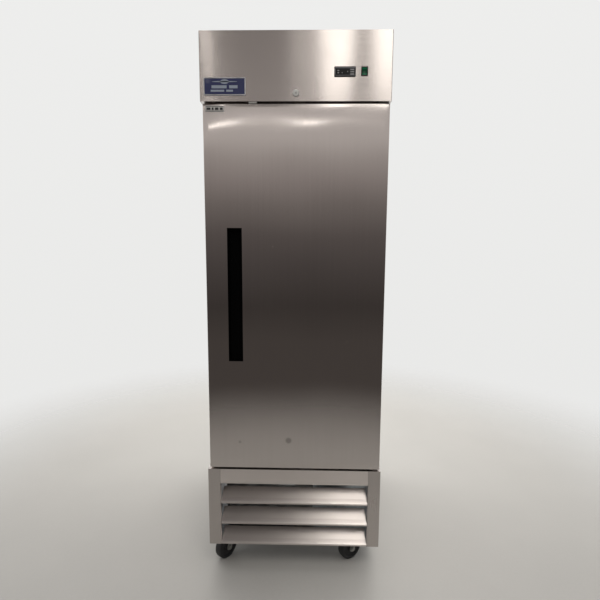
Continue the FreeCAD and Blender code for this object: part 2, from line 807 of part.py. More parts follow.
def compressor():
    """A hermetic pot on a foot plate with four rubber mounts and a terminal cover."""
    radius = 84.0
    tall = 190.0
    shoulder = 38.0
    seam_out = 4.0
    seam_half = 3.0
    foot_x = 105.0
    foot_y = 75.0
    foot_thick = 6.0
    skirt_r = 50.0
    skirt_up = 2.0
    cover_x = (60.0, 122.0)
    cover_half = 40.0
    cover_z = (50.0, 130.0)
    port_r = 5.5
    port_start = 150.0
    port_length = PORT_TOP - COMPRESSOR_FOOT - port_start
    mount_r = 12.0
    mount_in = 13.0
    at = COMPRESSOR
    low = at.z + COMPRESSOR_FOOT
    axis = V(at.x, at.y, low)
    pot = round_rims(rod(axis, V(0, 0, tall), radius), shoulder)
    seam = rod(axis + V(0, 0, tall / 2), V(0, 0, 2 * seam_half), radius + seam_out)
    foot = block((at.x - foot_x, at.x + foot_x), (at.y - foot_y, at.y + foot_y), (low - foot_thick, low))
    skirt = rod(axis - V(0, 0, foot_thick), V(0, 0, foot_thick + skirt_up), skirt_r)
    cover_y = (at.y - cover_half, at.y + cover_half)
    cover = block((at.x + cover_x[0], at.x + cover_x[1]), cover_y, (low + cover_z[0], low + cover_z[1]))
    ports = []
    for port in (SUCTION_PORT, DISCHARGE_PORT):
        ports.append(rod(axis + port + V(0, 0, port_start), V(0, 0, port_length), port_r))
    shell = fuse([pot, seam, fuse([foot, skirt]), cover] + ports)
    mounts = []
    for across in (mount_in - foot_x, foot_x - mount_in):
        for along in (mount_in - foot_y, foot_y - mount_in):
            mounts.append(rod(at + V(across, along, 0), V(0, 0, COMPRESSOR_FOOT - foot_thick), mount_r))
    save("compressor", shell, *mounts)


def condenser_coil():
    """The finned coil behind the grille, between two end plates."""
    fins = 46
    fin_half = 0.5
    fin_margin = 8.0
    rows = 7
    row_margin = 20.0
    tube_r = 5.0
    end_out = 3.0
    end_half = 1.0
    end_lap = 4.0
    end_drop = 6.0
    x, y, z = CONDENSER_X, CONDENSER_Y, CONDENSER_Z
    shapes = []
    for number in range(fins):
        centre = x[0] + fin_margin + (x[1] - x[0] - 2 * fin_margin) * number / (fins - 1)
        shapes.append(block((centre - fin_half, centre + fin_half), y, z))
    for row in range(rows):
        height = z[0] + row_margin + (z[1] - z[0] - 2 * row_margin) * row / (rows - 1)
        for share in (0.28, 0.72):
            start = V(x[0], y[0] + (y[1] - y[0]) * share, height)
            shapes.append(rod(start, V(x[1] - x[0], 0, 0), tube_r))
    end_y = (y[0] - end_lap, y[1] + end_lap)
    end_z = (z[0] - end_drop, z[1] + end_lap)
    ends = []
    for side in (x[0] - end_out, x[1] + end_out):
        ends.append(block((side - end_half, side + end_half), end_y, end_z))
    save("condenser_coil", fuse(shapes), *ends)


def condenser():
    """The condenser with its shroud, and the fan that draws air through."""
    wall = 1.5
    lap = 4.0
    drop = 8.0
    gap = 5.0
    deep = 40.0
    ring_r = 104.0
    shaft_r = 3.5
    condenser_coil()
    x, y, z = CONDENSER_X, CONDENSER_Y, CONDENSER_Z
    shroud_y = (y[1] + gap, y[1] + gap + deep)
    outline = (x[0] - lap, x[1] + lap, z[0] - drop, z[1] + lap)
    hollow = plate(inset(outline, wall), (shroud_y[0] - OVER, shroud_y[1] - wall))
    ring_at = V(CONDENSER_FAN.x, shroud_y[1] - wall - OVER, CONDENSER_FAN.z)
    ring = rod(ring_at, V(0, wall + 2 * OVER, 0), ring_r)
    save("condenser_shroud", plate(outline, shroud_y).cut(hollow).cut(ring))
    forward = V(0, -1, 0)
    motor = fan_motor(CONDENSER_FAN, forward, radius=44.0, length=75.0, shaft_r=shaft_r)
    save("condenser_fan_motor", motor)
    blade = fan_blade(CONDENSER_FAN, forward, V(1, 0, 0), radius=94.0, hub_r=24.0, shaft_r=shaft_r)
    save("condenser_fan_blade", blade)


def pipe(points, radius, bend):
    """A tube along straight runs joined by tangent arcs."""
    edges = []
    start = points[0]
    for before, corner, after in zip(points, points[1:], points[2:]):
        inward = (before - corner).normalize()
        outward = (after - corner).normalize()
        half_turn = (math.pi - inward.getAngle(outward)) / 2
        reach = bend * math.tan(half_turn)
        first = corner + inward * reach
        last = corner + outward * reach
        bisector = (inward + outward).normalize()
        centre = corner + bisector * (bend / math.cos(half_turn))
        middle = centre - bisector * bend
        edges.append(Part.LineSegment(start, first).toShape())
        edges.append(Part.Arc(first, middle, last).toShape())
        start = last
    edges.append(Part.LineSegment(start, points[-1]).toShape())
    path = Part.Wire(edges)
    direction = (points[1] - points[0]).normalize()
    ring = Part.Wire([Part.makeCircle(radius, points[0], direction)])
    return path.makePipeShell([ring], True, True)


def tubing():
    """The refrigerant lines and the filter drier."""
    vapour_r = 4.8
    liquid_r = 3.2
    rise = 45.0
    step = 25.0
    rear = 395.0
    liquid_z = 190.0
    liquid_rear = 380.0
    outlet = V(-250, -180, liquid_z)
    turn = V(-250, -60, liquid_z)
    drier_x = -150.0
    drier_y = (150.0, 260.0)
    drier_r = 15.0
    drier_end = 9.0
    under = BASE_TOP - 0.5
    inlet = V(CONDENSER_X[1] + 12, -250, 400)
    suction = COMPRESSOR + SUCTION_PORT + V(0, 0, PORT_TOP)
    discharge = COMPRESSOR + DISCHARGE_PORT + V(0, 0, PORT_TOP)
    high = suction + V(0, 0, rise)
    line_a = pipe([suction, high, V(high.x, rear, high.z), V(high.x, rear, under)], vapour_r, bend=18)
    corner = V(inlet.x, discharge.y, discharge.z + step)
    line_b_points = [discharge, discharge + V(0, 0, step), corner, V(inlet.x, inlet.y, corner.z)]
    line_b = pipe(line_b_points, vapour_r, bend=16)
    drier = rod(V(drier_x, drier_y[0], liquid_z), V(0, drier_y[1] - drier_y[0], 0), drier_r)
    drier = round_rims(drier, drier_end)
    entry = V(drier_x, drier_y[0] - OVER, liquid_z)
    line_c = pipe([outlet, turn, V(drier_x, turn.y, liquid_z), entry], liquid_r, bend=20)
    leave = V(drier_x, drier_y[1] + OVER, liquid_z)
    line_d_points = [leave, V(drier_x, liquid_rear, liquid_z), V(drier_x, liquid_rear, under)]
    line_d = pipe(line_d_points, liquid_r, bend=20)
    save("refrigerant_tubing", line_a, line_b, line_c, drier, line_d)


def condensate_pan():
    """A shallow evaporating tray at the back."""
    wall = 2.0
    x, y, z = (-320.0, -20.0), (280.0, 410.0), (DECK, DECK + 34)
    hollow = block((x[0] + wall, x[1] - wall), (y[0] + wall, y[1] - wall), (z[0] + wall, z[1] + OVER))
    return block(x, y, z).cut(hollow)


def power_gland():
    """The junction box with the round gland for the supply lead."""
    x, y, z = (236.0, 326.0), (330.0, 398.0), (DECK, DECK + 70)
    nut_length = 14.0
    nut_r = 14.0
    dome_length = 10.0
    dome_r = 10.5
    bore_r = 5.0
    bore_in = 2.0
    centre = V((x[0] + x[1]) / 2, y[1], DECK + 36)
    nut = rod(centre, V(0, nut_length, 0), nut_r)
    dome = rod(centre + V(0, nut_length, 0), V(0, dome_length, 0), dome_r)
    bore_length = V(0, bore_in + nut_length + dome_length + OVER, 0)
    bore = rod(centre - V(0, bore_in, 0), bore_length, bore_r)
    return fuse([block(x, y, z), nut, dome]).cut(bore)


def machine_compartment():
    """The base deck and what stands on it."""
    inside = HALF - SHEET
    deck_y = (FACE + 18, BACK)
    save("base_deck", block((-inside, inside), deck_y, (BASE_BOTTOM, DECK)))
    compressor()
    condenser()
    tubing()
    save("condensate_pan", condensate_pan())
    save("power_gland", power_gland())


# Casters ----------------------------------------------------------------------------------------

def caster_plate(x, y):
    """A top plate with four bolt heads and the fixed bearing cup."""
    half = 46.0
    corner = 8.0
    cup_r = 24.0
    bolt_r = 6.0
    bolt_tall = 3.5
    bolt_at = 36.0
    under = BASE_BOTTOM - PLATE
    made = block((x - half, x + half), (y - half, y + half), (under, BASE_BOTTOM))
    made = made.makeFillet(corner, edges_along(made, V(0, 0, 1), lambda p: True))
    shapes = [made, rod(V(x, y, under - CUP), V(0, 0, CUP), cup_r)]
    for across in (-bolt_at, bolt_at):
        for along in (-bolt_at, bolt_at):
            shapes.append(rod(V(x + across, y + along, under - bolt_tall), V(0, 0, bolt_tall), bolt_r))
    return fuse(shapes)


def place_caster(shape, x, y, heading):
    """Turns a shape made for a wheel that trails along +X and moves it to its axis."""
    shape.rotate(V(0, 0, 0), V(0, 0, 1), heading)
    shape.translate(V(x, y, 0))
    return shape


def caster_fork():
    """A pressed fork with slanting legs, and its axle bolt."""
    wheel_gap = 2.5
    leg_thick = 3.0
    crown_r = 27.0
    crown_gap = 0.4
    tread_gap = 4.0
    bridge_x = (-18.0, 30.0)
    bridge_thick = 4.0
    boss = 13.0
    leg_top = (-20.0, 32.0)
    head_r = 9.5
    head_thick = 5.0
    stub = 7.0
    inner = WHEEL_WIDTH / 2 + wheel_gap
    outer = inner + leg_thick
    low = WHEEL_R * 2 + tread_gap
    crown = rod(V(0, 0, low), V(0, 0, BASE_BOTTOM - PLATE - CUP - crown_gap - low), crown_r)
    bridge = block(bridge_x, (-outer, outer), (low, low + bridge_thick))
    leg_z = low + bridge_thick
    leg_points = [(leg_top[0], leg_z), (leg_top[1], leg_z), (LEAD + boss, WHEEL_R), (LEAD - boss, WHEEL_R)]
    across = V(0, leg_thick, 0)
    legs = []
    for side in (-outer, inner):
        web = prism([V(x, side, z) for x, z in leg_points], across)
        legs.append(web.fuse(rod(V(LEAD, side, WHEEL_R), across, boss)))
    fork = fuse([crown, bridge] + legs)
    hole = rod(V(LEAD, -outer - OVER, WHEEL_R), V(0, 2 * (outer + OVER), 0), AXLE_R)
    axle = rod(V(LEAD, -outer - stub, WHEEL_R), V(0, 2 * (outer + stub), 0), AXLE_R)
    heads = []
    for side in (-outer - head_thick, outer):
        heads.append(rod(V(LEAD, side, WHEEL_R), V(0, head_thick, 0), head_r))
    return fork.cut(hole), fuse([axle] + heads)


def caster_wheel():
    """A wheel with a crowned tread, a dished hub and a bore that runs on the axle."""
    half = WHEEL_WIDTH / 2
    rim = 11.0
    crown = 6.0
    dish = 5.0
    hub_r = 16.0
    centre = V(LEAD, 0, WHEEL_R)
    body = round_rims(rod(centre - V(0, half, 0), V(0, 2 * half, 0), WHEEL_R), crown)
    body = body.cut(rod(centre - V(0, half + OVER, 0), V(0, 2 * (half + OVER), 0), AXLE_R + RUNNING))
    for side in (-1, 1):
        start = centre + V(0, side * (half + OVER), 0)
        along = V(0, -side * (dish + OVER), 0)
        body = body.cut(rod(start, along, WHEEL_R - rim).cut(rod(start, along, hub_r)))
    return body


def casters():
    """Four swivel casters."""
    plates = []
    for name, (x, y, heading) in CASTERS.items():
        plates.append(caster_plate(x, y))
        fork, axle = caster_fork()
        parts = [place_caster(part, x, y, heading) for part in (fork, axle)]
        save(f"caster_fork_{name}", *parts)
        save(f"caster_wheel_{name}", place_caster(caster_wheel(), x, y, heading))
    save("caster_plates", *plates)


def main():
    os.makedirs("parts", exist_ok=True)
    cabinet_shell()
    door_frame()
    insulation()
    liner()
    breaker_strips()
    pilasters()
    shelf_clips()
    shelves()
    evaporator()
    header()
    door()
    grille()
    machine_compartment()
    casters()


main()
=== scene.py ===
"""Looks of a single-door reach-in refrigerator, in metres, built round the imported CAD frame."""
import json
import math

import bmesh
import bpy
from mathutils import Matrix, Quaternion, Vector


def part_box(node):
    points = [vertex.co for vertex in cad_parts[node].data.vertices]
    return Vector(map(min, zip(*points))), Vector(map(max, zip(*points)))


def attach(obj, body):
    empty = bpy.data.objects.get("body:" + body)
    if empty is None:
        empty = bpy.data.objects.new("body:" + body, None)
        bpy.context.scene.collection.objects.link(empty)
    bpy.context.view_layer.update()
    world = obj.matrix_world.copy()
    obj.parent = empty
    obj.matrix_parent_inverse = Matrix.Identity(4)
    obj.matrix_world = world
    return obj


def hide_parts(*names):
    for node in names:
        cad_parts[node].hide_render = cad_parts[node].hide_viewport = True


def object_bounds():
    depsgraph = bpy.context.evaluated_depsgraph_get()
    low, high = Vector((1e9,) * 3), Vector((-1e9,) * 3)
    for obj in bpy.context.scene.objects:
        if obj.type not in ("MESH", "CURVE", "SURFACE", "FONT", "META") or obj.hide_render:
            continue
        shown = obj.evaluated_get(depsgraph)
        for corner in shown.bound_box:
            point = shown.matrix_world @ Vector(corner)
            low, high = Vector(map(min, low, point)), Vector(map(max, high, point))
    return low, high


bl_info = {
    "name": "Reach-in refrigerator",
    "version": (1, 0, 0),
    "blender": (4, 5, 0),
    "location": "3D View > Sidebar > Reach-in",
    "description": "Builds the pieces, finishes and studio of a single-door reach-in refrigerator",
    "category": "Object",
}

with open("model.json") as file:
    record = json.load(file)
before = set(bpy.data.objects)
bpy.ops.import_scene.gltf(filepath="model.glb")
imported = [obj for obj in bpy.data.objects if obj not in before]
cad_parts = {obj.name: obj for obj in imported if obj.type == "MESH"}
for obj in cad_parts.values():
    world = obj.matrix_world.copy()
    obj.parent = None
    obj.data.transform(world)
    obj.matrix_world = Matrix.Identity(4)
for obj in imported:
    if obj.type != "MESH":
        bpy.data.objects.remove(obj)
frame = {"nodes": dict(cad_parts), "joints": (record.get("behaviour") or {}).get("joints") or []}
PACKED_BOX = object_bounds()
JOINTS = {joint["name"]: joint for joint in frame["joints"]}
CASTERS = ("front_left", "front_right", "rear_left", "rear_right")
X = Vector((1, 0, 0))
Y = Vector((0, 1, 0))
Z = Vector((0, 0, 1))
HAIR = 0.0001                   # a distance too small to see
PULL_WALL = 0.002
LOCK_PROUD = 0.004              # how far the lock stands proud of the header and the door


# Sizes and colours --------------------

class REACHIN_PG_sizes(bpy.types.PropertyGroup):
    """Sizes that change the look of the refrigerator but not its frame."""

    sheet: bpy.props.FloatProperty(
        name="Sheet", description="Thickness of the outer sheets", default=0.0012, unit="LENGTH")
    fold: bpy.props.FloatProperty(
        name="Fold radius", description="Outside radius of the door's folded edges", default=0.003,
        unit="LENGTH")
    wave: bpy.props.FloatProperty(
        name="Sheet wave", description="Height of the shallow waves in the door's sheet", default=0.00031,
        unit="LENGTH")
    pull_lip: bpy.props.FloatProperty(
        name="Pull lip", description="Width of the lip round the recessed pull", default=0.0014,
        unit="LENGTH")
    blade_bend: bpy.props.FloatProperty(
        name="Louvre bend", description="Radius of the bends in a louvre blade", default=0.0016,
        unit="LENGTH")
    screw: bpy.props.FloatProperty(
        name="Screw head", description="Radius of a pan head screw", default=0.0045, unit="LENGTH")
    guard_wire: bpy.props.FloatProperty(
        name="Guard wire", description="Radius of the wire of a fan guard", default=0.0014, unit="LENGTH")


class REACHIN_PG_colours(bpy.types.PropertyGroup):
    """Colours of the finishes that are most likely to change."""

    steel: bpy.props.FloatVectorProperty(
        name="Stainless steel", description="Colour of the brushed sheets", default=(0.61, 0.565, 0.54),
        subtype="COLOR")
    badge: bpy.props.FloatVectorProperty(
        name="Badge", description="Colour of the name plate's field", default=(0.034, 0.046, 0.17),
        subtype="COLOR")
    switch: bpy.props.FloatVectorProperty(
        name="Switch", description="Colour of the power switch", default=(0.010, 0.19, 0.085),
        subtype="COLOR")
    floor: bpy.props.FloatVectorProperty(
        name="Floor", description="Colour of the studio floor", default=(0.50, 0.49, 0.47), subtype="COLOR")


# Shader maths --------------------

def feed(tree, socket, value):
    """Links a wrapped value to a socket, or sets the socket to a plain one."""
    if isinstance(value, Value):
        tree.links.new(value.socket, socket)
    else:
        socket.default_value = value


class Value:
    """A socket on which Python's operators add Math nodes."""

    def __init__(self, tree, socket):
        self.tree = tree
        self.socket = socket

    def math(self, operation, *terms):
        made = self.tree.nodes.new("ShaderNodeMath")
        made.operation = operation
        for socket, term in zip(made.inputs, terms):
            feed(self.tree, socket, term)
        return Value(self.tree, made.outputs[0])

    def __add__(self, other):
        return self.math("ADD", self, other)

    def __sub__(self, other):
        return self.math("SUBTRACT", self, other)

    def __rsub__(self, other):
        return self.math("SUBTRACT", other, self)

    def __mul__(self, other):
        return self.math("MULTIPLY", self, other)

    __radd__ = __add__
    __rmul__ = __mul__


class Nodes:
    """Adds nodes to a tree, most of them through node()."""

    def __init__(self, tree):
        self.tree = tree

    def node(self, kind, settings, sockets, output=0):
        """One node: its settings are made first, then its sockets are set or linked."""
        made = self.tree.nodes.new(kind)
        for key, value in settings.items():
            if key == "stops":
                self.set_stops(made.color_ramp, value)
            else:
                setattr(made, key, value)
        for key, value in sockets.items():
            feed(self.tree, made.inputs[key], value)
        return Value(self.tree, made.outputs[output])

    def set_stops(self, ramp, stops):
        for _ in stops[2:]:
            ramp.elements.new(1.0)
        for element, (place, colour) in zip(ramp.elements, stops):
            element.position = place
            element.color = (*colour, 1.0)

    def step(self, value, low, high):
        """0 below low and 1 above high, smooth between them."""
        sockets = {"Value": value, "From Min": low, "From Max": high}
        return self.node("ShaderNodeMapRange", {"interpolation_type": "SMOOTHSTEP"}, sockets)

    def mix(self, factor, first, second):
        """A colour between two colours."""
        pair = [value if isinstance(value, Value) else (*value, 1.0) for value in (first, second)]
        return self.node("ShaderNodeMix", {"data_type": "RGBA"}, {0: factor, 6: pair[0], 7: pair[1]}, 2)

    def vector(self, operation, first, second, output=0):
        return self.node("ShaderNodeVectorMath", {"operation": operation}, {0: first, 1: second}, output)


class Finish(Nodes):
    """A material. Patterns on it follow the object's own coordinates, in metres."""

    def __init__(self, name, metallic=0.0, **uniform):
        self.material = bpy.data.materials.new(name)
        self.material.use_nodes = True
        super().__init__(self.material.node_tree)
        self.shader = self.tree.nodes["Principled BSDF"]
        self.shader.inputs["Metallic"].default_value = metallic
        for key, value in uniform.items():
            self.shader.inputs[key.replace("_", " ").title().replace("Ior", "IOR")].default_value = value
        self.place = self.node("ShaderNodeTexCoord", {}, {}, "Object")

    def noise(self, per_metre, detail=2.0, shift=0.0):
        """Soft noise from 0 to 1, with its cycles per metre along x, y and z."""
        sockets = {"Vector": self.place, "Scale": per_metre, "Location": (shift, shift, shift)}
        where = self.node("ShaderNodeMapping", {}, sockets)
        return self.node("ShaderNodeTexNoise", {}, {"Vector": where, "Scale": 1.0, "Detail": detail})

    def cells(self, per_metre, feature="F1", output="Distance"):
        """Voronoi cells with that many per metre."""
        sockets = {"Vector": self.place, "Scale": per_metre}
        return self.node("ShaderNodeTexVoronoi", {"feature": feature}, sockets, output)

    def bump(self, height, distance, under=None):
        """A bump of that height in metres, over another one."""
        sockets = {"Height": height, "Distance": distance}
        if under:
            sockets["Normal"] = under
        return self.node("ShaderNodeBump", {}, sockets)

    def surface(self, colour, roughness, normal=None, **more):
        """Feeds the shader and returns the material."""
        feed(self.tree, self.shader.inputs["Base Color"], colour)
        feed(self.tree, self.shader.inputs["Roughness"], roughness)
        if normal:
            feed(self.tree, self.shader.inputs["Normal"], normal)
        for key, value in more.items():
            feed(self.tree, self.shader.inputs[key.replace("_", " ").title()], value)
        return self.material


def on_front(node, across, up):
    """A point on a node's front, by its shares of the way across and up."""
    low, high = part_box(node)
    return Vector((low.x + (high.x - low.x) * across, low.y, low.z + (high.z - low.z) * up))


def tint(colour, share):
    """A colour made darker or lighter."""
    return tuple(min(1.0, channel * share) for channel in colour)


# Finishes --------------------

def grain_scales(direction, across, along):
    """Cycles per metre of a grain that runs along an axis."""
    return tuple(along if axis == direction else across for axis in "xyz")


def brushed_steel(name, colour, direction, roughness, wave):
    """Sheet with a fine grain, faint streaks, wiping marks and shallow waves."""
    turn = 0.25 if direction == "x" else 0.0
    made = Finish(name, metallic=1.0, anisotropic=0.9, anisotropic_rotation=turn)
    grain = made.noise(grain_scales(direction, 1400.0, 9.0), detail=1.0)
    streak = made.noise(grain_scales(direction, 140.0, 1.1), detail=3.0, shift=3.0)
    wiped = made.noise((5.0, 5.0, 7.0), detail=4.0, shift=9.0)
    base = made.mix(streak * 0.6 + grain * 0.4, tint(colour, 0.93), tint(colour, 1.06))
    rough = roughness - 0.05 + 0.05 * streak + 0.05 * grain
    rough = rough + 0.04 * made.step(wiped, 0.45, 0.75)
    sway = made.noise((2.2, 2.2, 3.0), detail=1.0, shift=5.0)
    normal = made.bump(sway, wave)
    normal = made.bump(grain, 0.00001, normal)
    return made, base, rough, normal


def door_steel(name, colour):
    """The door's sheet: vertical grain with a few smudges and scuffs from use."""
    made, base, rough, normal = brushed_steel(name, colour, "z", 0.095, 0.0004)
    # Smudges: share across, share up, radius and strength
    marks = ((0.464, 0.084, 0.016, 0.55), (0.179, 0.078, 0.008, 0.35), (0.49, 0.21, 0.007, 0.25))
    for across, up, radius, strength in marks:
        away = made.vector("DISTANCE", made.place, on_front("door_skin", across, up), "Value")
        mask = strength * (1.0 - made.step(away, radius * 0.4, radius))
        base = made.mix(mask, base, tint(colour, 0.35))
        rough = rough + 0.3 * mask
    # Scuffs: share across, share up, half length, half width and lean
    scuffs = ((0.375, 0.633, 0.004, 0.004, 0.0), (0.794, 0.373, 0.010, 0.0016, 0.5),
              (0.715, 0.232, 0.012, 0.0016, -0.2), (0.790, 0.182, 0.026, 0.0018, 0.6))
    for across, up, long, wide, lean in scuffs:
        local = made.vector("SUBTRACT", made.place, on_front("door_skin", across, up))
        sockets = {"Vector": local, "Angle": lean}
        level = made.node("ShaderNodeVectorRotate", {"rotation_type": "Y_AXIS"}, sockets)
        scaled = made.vector("MULTIPLY", level, (1 / long, 0.0, 1 / wide))
        mask = 1.0 - made.step(made.vector("LENGTH", scaled, scaled, "Value"), 0.5, 1.0)
        base = made.mix(0.5 * mask, base, (0.9, 0.86, 0.8))
    return made.surface(base, rough, normal)


def stainless(name, colour, direction, roughness, wave):
    """A brushed sheet with no marks of its own."""
    made, base, rough, normal = brushed_steel(name, colour, direction, roughness, wave)
    return made.surface(base, rough, normal)


def galvanised(name):
    """Zinc coated sheet with its spangle."""
    made = Finish(name, metallic=1.0)
    spangle = made.cells(90.0, output="Color")
    grey = made.node("ShaderNodeRGBToBW", {}, {"Color": spangle})
    cloud = made.noise((6.0, 6.0, 6.0), detail=3.0)
    base = made.mix(grey * 0.7 + cloud * 0.3, (0.36, 0.38, 0.40), (0.62, 0.64, 0.66))
    return made.surface(base, 0.38 + 0.22 * grey, made.bump(cloud, 0.0006))


def embossed_aluminium(name, colour):
    """Soft aluminium sheet with a pebbled emboss."""
    made = Finish(name, metallic=1.0)
    pebble = made.cells(170.0, feature="SMOOTH_F1")
    cloud = made.noise((4.0, 4.0, 4.0), detail=3.0)
    base = made.mix(cloud, tint(colour, 0.85), colour)
    return made.surface(base, 0.34 + 0.14 * cloud, made.bump(pebble, 0.0004))


def bare_metal(name, colour, roughness, grain=600.0):
    """Plated, cast or drawn metal, slightly tarnished."""
    made = Finish(name, metallic=1.0)
    fine = made.noise((grain, grain, grain), detail=2.0)
    tarnish = made.noise((22.0, 22.0, 22.0), detail=4.0, shift=2.0)
    base = made.mix(made.step(tarnish, 0.35, 0.75), colour, tint(colour, 0.62))
    return made.surface(base, roughness + 0.18 * tarnish + 0.06 * fine, made.bump(fine, 0.00004))


def moulded(name, colour, roughness, grain=900.0, height=0.00006, coat=0.0, gloss=0.5):
    """Moulded plastic or rubber: a fine texture and a little dust."""
    made = Finish(name, coat_weight=coat, specular_ior_level=gloss)
    fine = made.noise((grain, grain, grain), detail=2.0)
    dust = made.noise((28.0, 28.0, 28.0), detail=4.0, shift=4.0)
    dusted = made.step(dust, 0.45, 0.85)
    base = made.mix(0.12 * dusted, colour, tuple(0.9 * channel + 0.08 * gloss for channel in colour))
    return made.surface(base, roughness + 0.15 * dusted + 0.08 * fine, made.bump(fine, height))


def painted(name, colour, roughness):
    """Sprayed paint with a faint orange peel."""
    made = Finish(name, coat_weight=0.25, coat_roughness=0.2)
    peel = made.noise((260.0, 260.0, 260.0), detail=1.0)
    dust = made.noise((12.0, 12.0, 9.0), detail=5.0, shift=6.0)
    base = made.mix(made.step(dust, 0.4, 0.8), colour, tint(colour, 0.8))
    return made.surface(base, roughness + 0.2 * dust, made.bump(peel, 0.00008))


def foamed(name):
    """Cut foam with open pores, painted darker towards each pore's middle as painted shade in its hollow."""
    made = Finish(name)
    pores = made.cells(420.0)
    # Painted shade: darker at the middle of each pore, where the bump makes a hollow
    base = made.mix(made.step(pores, 0.1, 0.6), (0.50, 0.40, 0.20), (0.80, 0.70, 0.45))
    return made.surface(base, 0.85 + 0.1 * pores, made.bump(pores, 0.0006))


def dark_lens(name):
    """Smoked display window with fine dust."""
    made = Finish(name, specular_ior_level=0.25)
    dust = made.noise((700.0, 700.0, 700.0), detail=3.0)
    base = made.mix(made.step(dust, 0.5, 0.9), (0.006, 0.006, 0.008), (0.03, 0.03, 0.032))
    return made.surface(base, 0.25 + 0.2 * dust)


def switch_lens(name, colour):
    """Clear coloured plastic, painted darker in the rocker's hollowed middle as painted shade and lighter
    towards its ends as a painted highlight.
    """
    made = Finish(name, coat_weight=0.15, coat_roughness=0.08, specular_ior_level=0.3)
    low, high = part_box("rocker_switch")
    middle = (low + high) / 2
    away = made.vector("SUBTRACT", made.place, middle)
    height = made.node("ShaderNodeSeparateXYZ", {}, {"Vector": away}, "Z")
    # Painted shade and painted highlight: darker within 4 mm of the middle, lighter towards the rocker's ends
    edge = made.step(height.math("ABSOLUTE", height), 0.004, (high.z - low.z) / 2)
    ripple = made.noise((500.0, 500.0, 500.0))
    base = made.mix(edge, tint(colour, 0.55), tint(colour, 1.7))
    return made.surface(base, 0.2 + 0.12 * ripple, made.bump(ripple, 0.00005))


def make_finishes(colours):
    """Every finish, by the record's slot or by its own name."""
    steel = colours.steel
    made = [
        stainless("outer_stainless", steel, "x", 0.20, 0.0006),
        stainless("upright_stainless", steel, "z", 0.22, 0.0010),
        stainless("louvre_stainless", steel, "x", 0.42, 0.0003),
        # Painted light: a lighter copy of the steel for the grille's top rail
        stainless("rail_stainless_painted_light", tint(steel, 1.2), "x", 0.24, 0.0004),
        # Painted shade: a darker copy of the steel for the grille's stiles
        stainless("stile_stainless_painted_shade", tint(steel, 0.84), "z", 0.24, 0.0004),
        door_steel("door_stainless", steel),
        galvanised("galvanised_steel"),
        foamed("foam"),
        embossed_aluminium("liner_aluminium", (0.80, 0.81, 0.82)),
        bare_metal("shelf_steel", (0.60, 0.60, 0.59), 0.30),
        bare_metal("coil_aluminium", (0.70, 0.71, 0.72), 0.36),
        bare_metal("fan_aluminium", (0.74, 0.75, 0.76), 0.34),
        bare_metal("lock_chrome", (0.92, 0.92, 0.90), 0.30),
        # Painted highlight: a brighter copy of the lock's chrome for the plug's face
        bare_metal("lock_chrome_painted_highlight", (0.98, 0.98, 0.96), 0.46),
        bare_metal("hinge_steel", (0.52, 0.51, 0.49), 0.32),
        bare_metal("copper", (0.72, 0.33, 0.17), 0.26),
        bare_metal("caster_zinc", (0.40, 0.40, 0.38), 0.33),
        bare_metal("badge_silver", (0.72, 0.73, 0.76), 0.28),
        moulded("grey_plastic", (0.50, 0.51, 0.52), 0.45),
        moulded("shelf_wire", (0.72, 0.73, 0.72), 0.30, coat=0.2),
        moulded("white_plastic", (0.78, 0.78, 0.76), 0.42),
        moulded("badge_blue", tuple(colours.badge), 0.3, coat=0.25),
        moulded("badge_print", (0.50, 0.58, 0.70), 0.35),
        moulded("tag_print", (0.03, 0.03, 0.035), 0.4),
        moulded("black_plastic", (0.012, 0.012, 0.013), 0.42),
        moulded("pull_black", (0.001, 0.001, 0.0012), 0.62, grain=500.0, height=0.00012, gloss=0.08),
        # Painted shade: near-black for the oval that stands for the keyway's hollow
        moulded("keyway_painted_shade", (0.01, 0.01, 0.01), 0.6, gloss=0.2),
        moulded("button_grey", (0.24, 0.24, 0.26), 0.40),
        moulded("bush_nylon", (0.75, 0.74, 0.70), 0.40),
        moulded("gasket_rubber", (0.32, 0.32, 0.33), 0.55, grain=300.0),
        moulded("pan_plastic", (0.05, 0.05, 0.055), 0.5),
        moulded("wheel_black", (0.014, 0.014, 0.015), 0.50, grain=350.0, height=0.0002),
        painted("motor_grey", (0.16, 0.17, 0.18), 0.42),
        painted("compressor_black", (0.012, 0.012, 0.013), 0.34),
        dark_lens("display_glass"),
        switch_lens("switch_green", tuple(colours.switch)),
    ]
    return {material.name.split(".")[0]: material for material in made}


FINISHES = {}
NODE_FINISHES = {
    "side_panel_left": "upright_stainless",
    "side_panel_right": "upright_stainless",
    # Painted shade: the stiles take the darker copy of the steel
    "grille_stiles": "stile_stainless_painted_shade",
    # Painted light: the top rail takes the lighter copy of the steel
    "grille_top_rail": "rail_stainless_painted_light",
    # Painted highlight: the plug takes the brighter copy of the chrome
    "lock_plug": "lock_chrome_painted_highlight",
}


# Shapes --------------------

def cuboid(bm, low, high):
    """Adds a box between two corners."""
    low = Vector(low)
    high = Vector(high)
    made = bmesh.ops.create_cube(bm, size=1.0)["verts"]
    bmesh.ops.scale(bm, vec=high - low, verts=made)
    bmesh.ops.translate(bm, vec=(low + high) / 2, verts=made)
    return made


def edges_of(verts):
    """The edges between some vertices."""
    chosen = set(verts)
    return [edge for edge in {edge for vert in verts for edge in vert.link_edges}
            if chosen.issuperset(edge.verts)]


def round_edges(bm, edges, radius, segments=3):
    """Rounds edges with an even radius."""
    bmesh.ops.bevel(bm, geom=edges, offset=radius, offset_type="OFFSET", segments=segments, profile=0.5,
                    affect="EDGES", material=-1, clamp_overlap=True)


def rounded_box(bm, low, high, radius, segments=3):
    """Adds a box with all its edges rounded."""
    round_edges(bm, edges_of(cuboid(bm, low, high)), radius, segments)


def aim(axis, centre):
    """The matrix that turns +Z to an axis and moves the origin to a centre."""
    turn = Z.rotation_difference(Vector(axis)).to_matrix().to_4x4()
    return Matrix.Translation(centre) @ turn


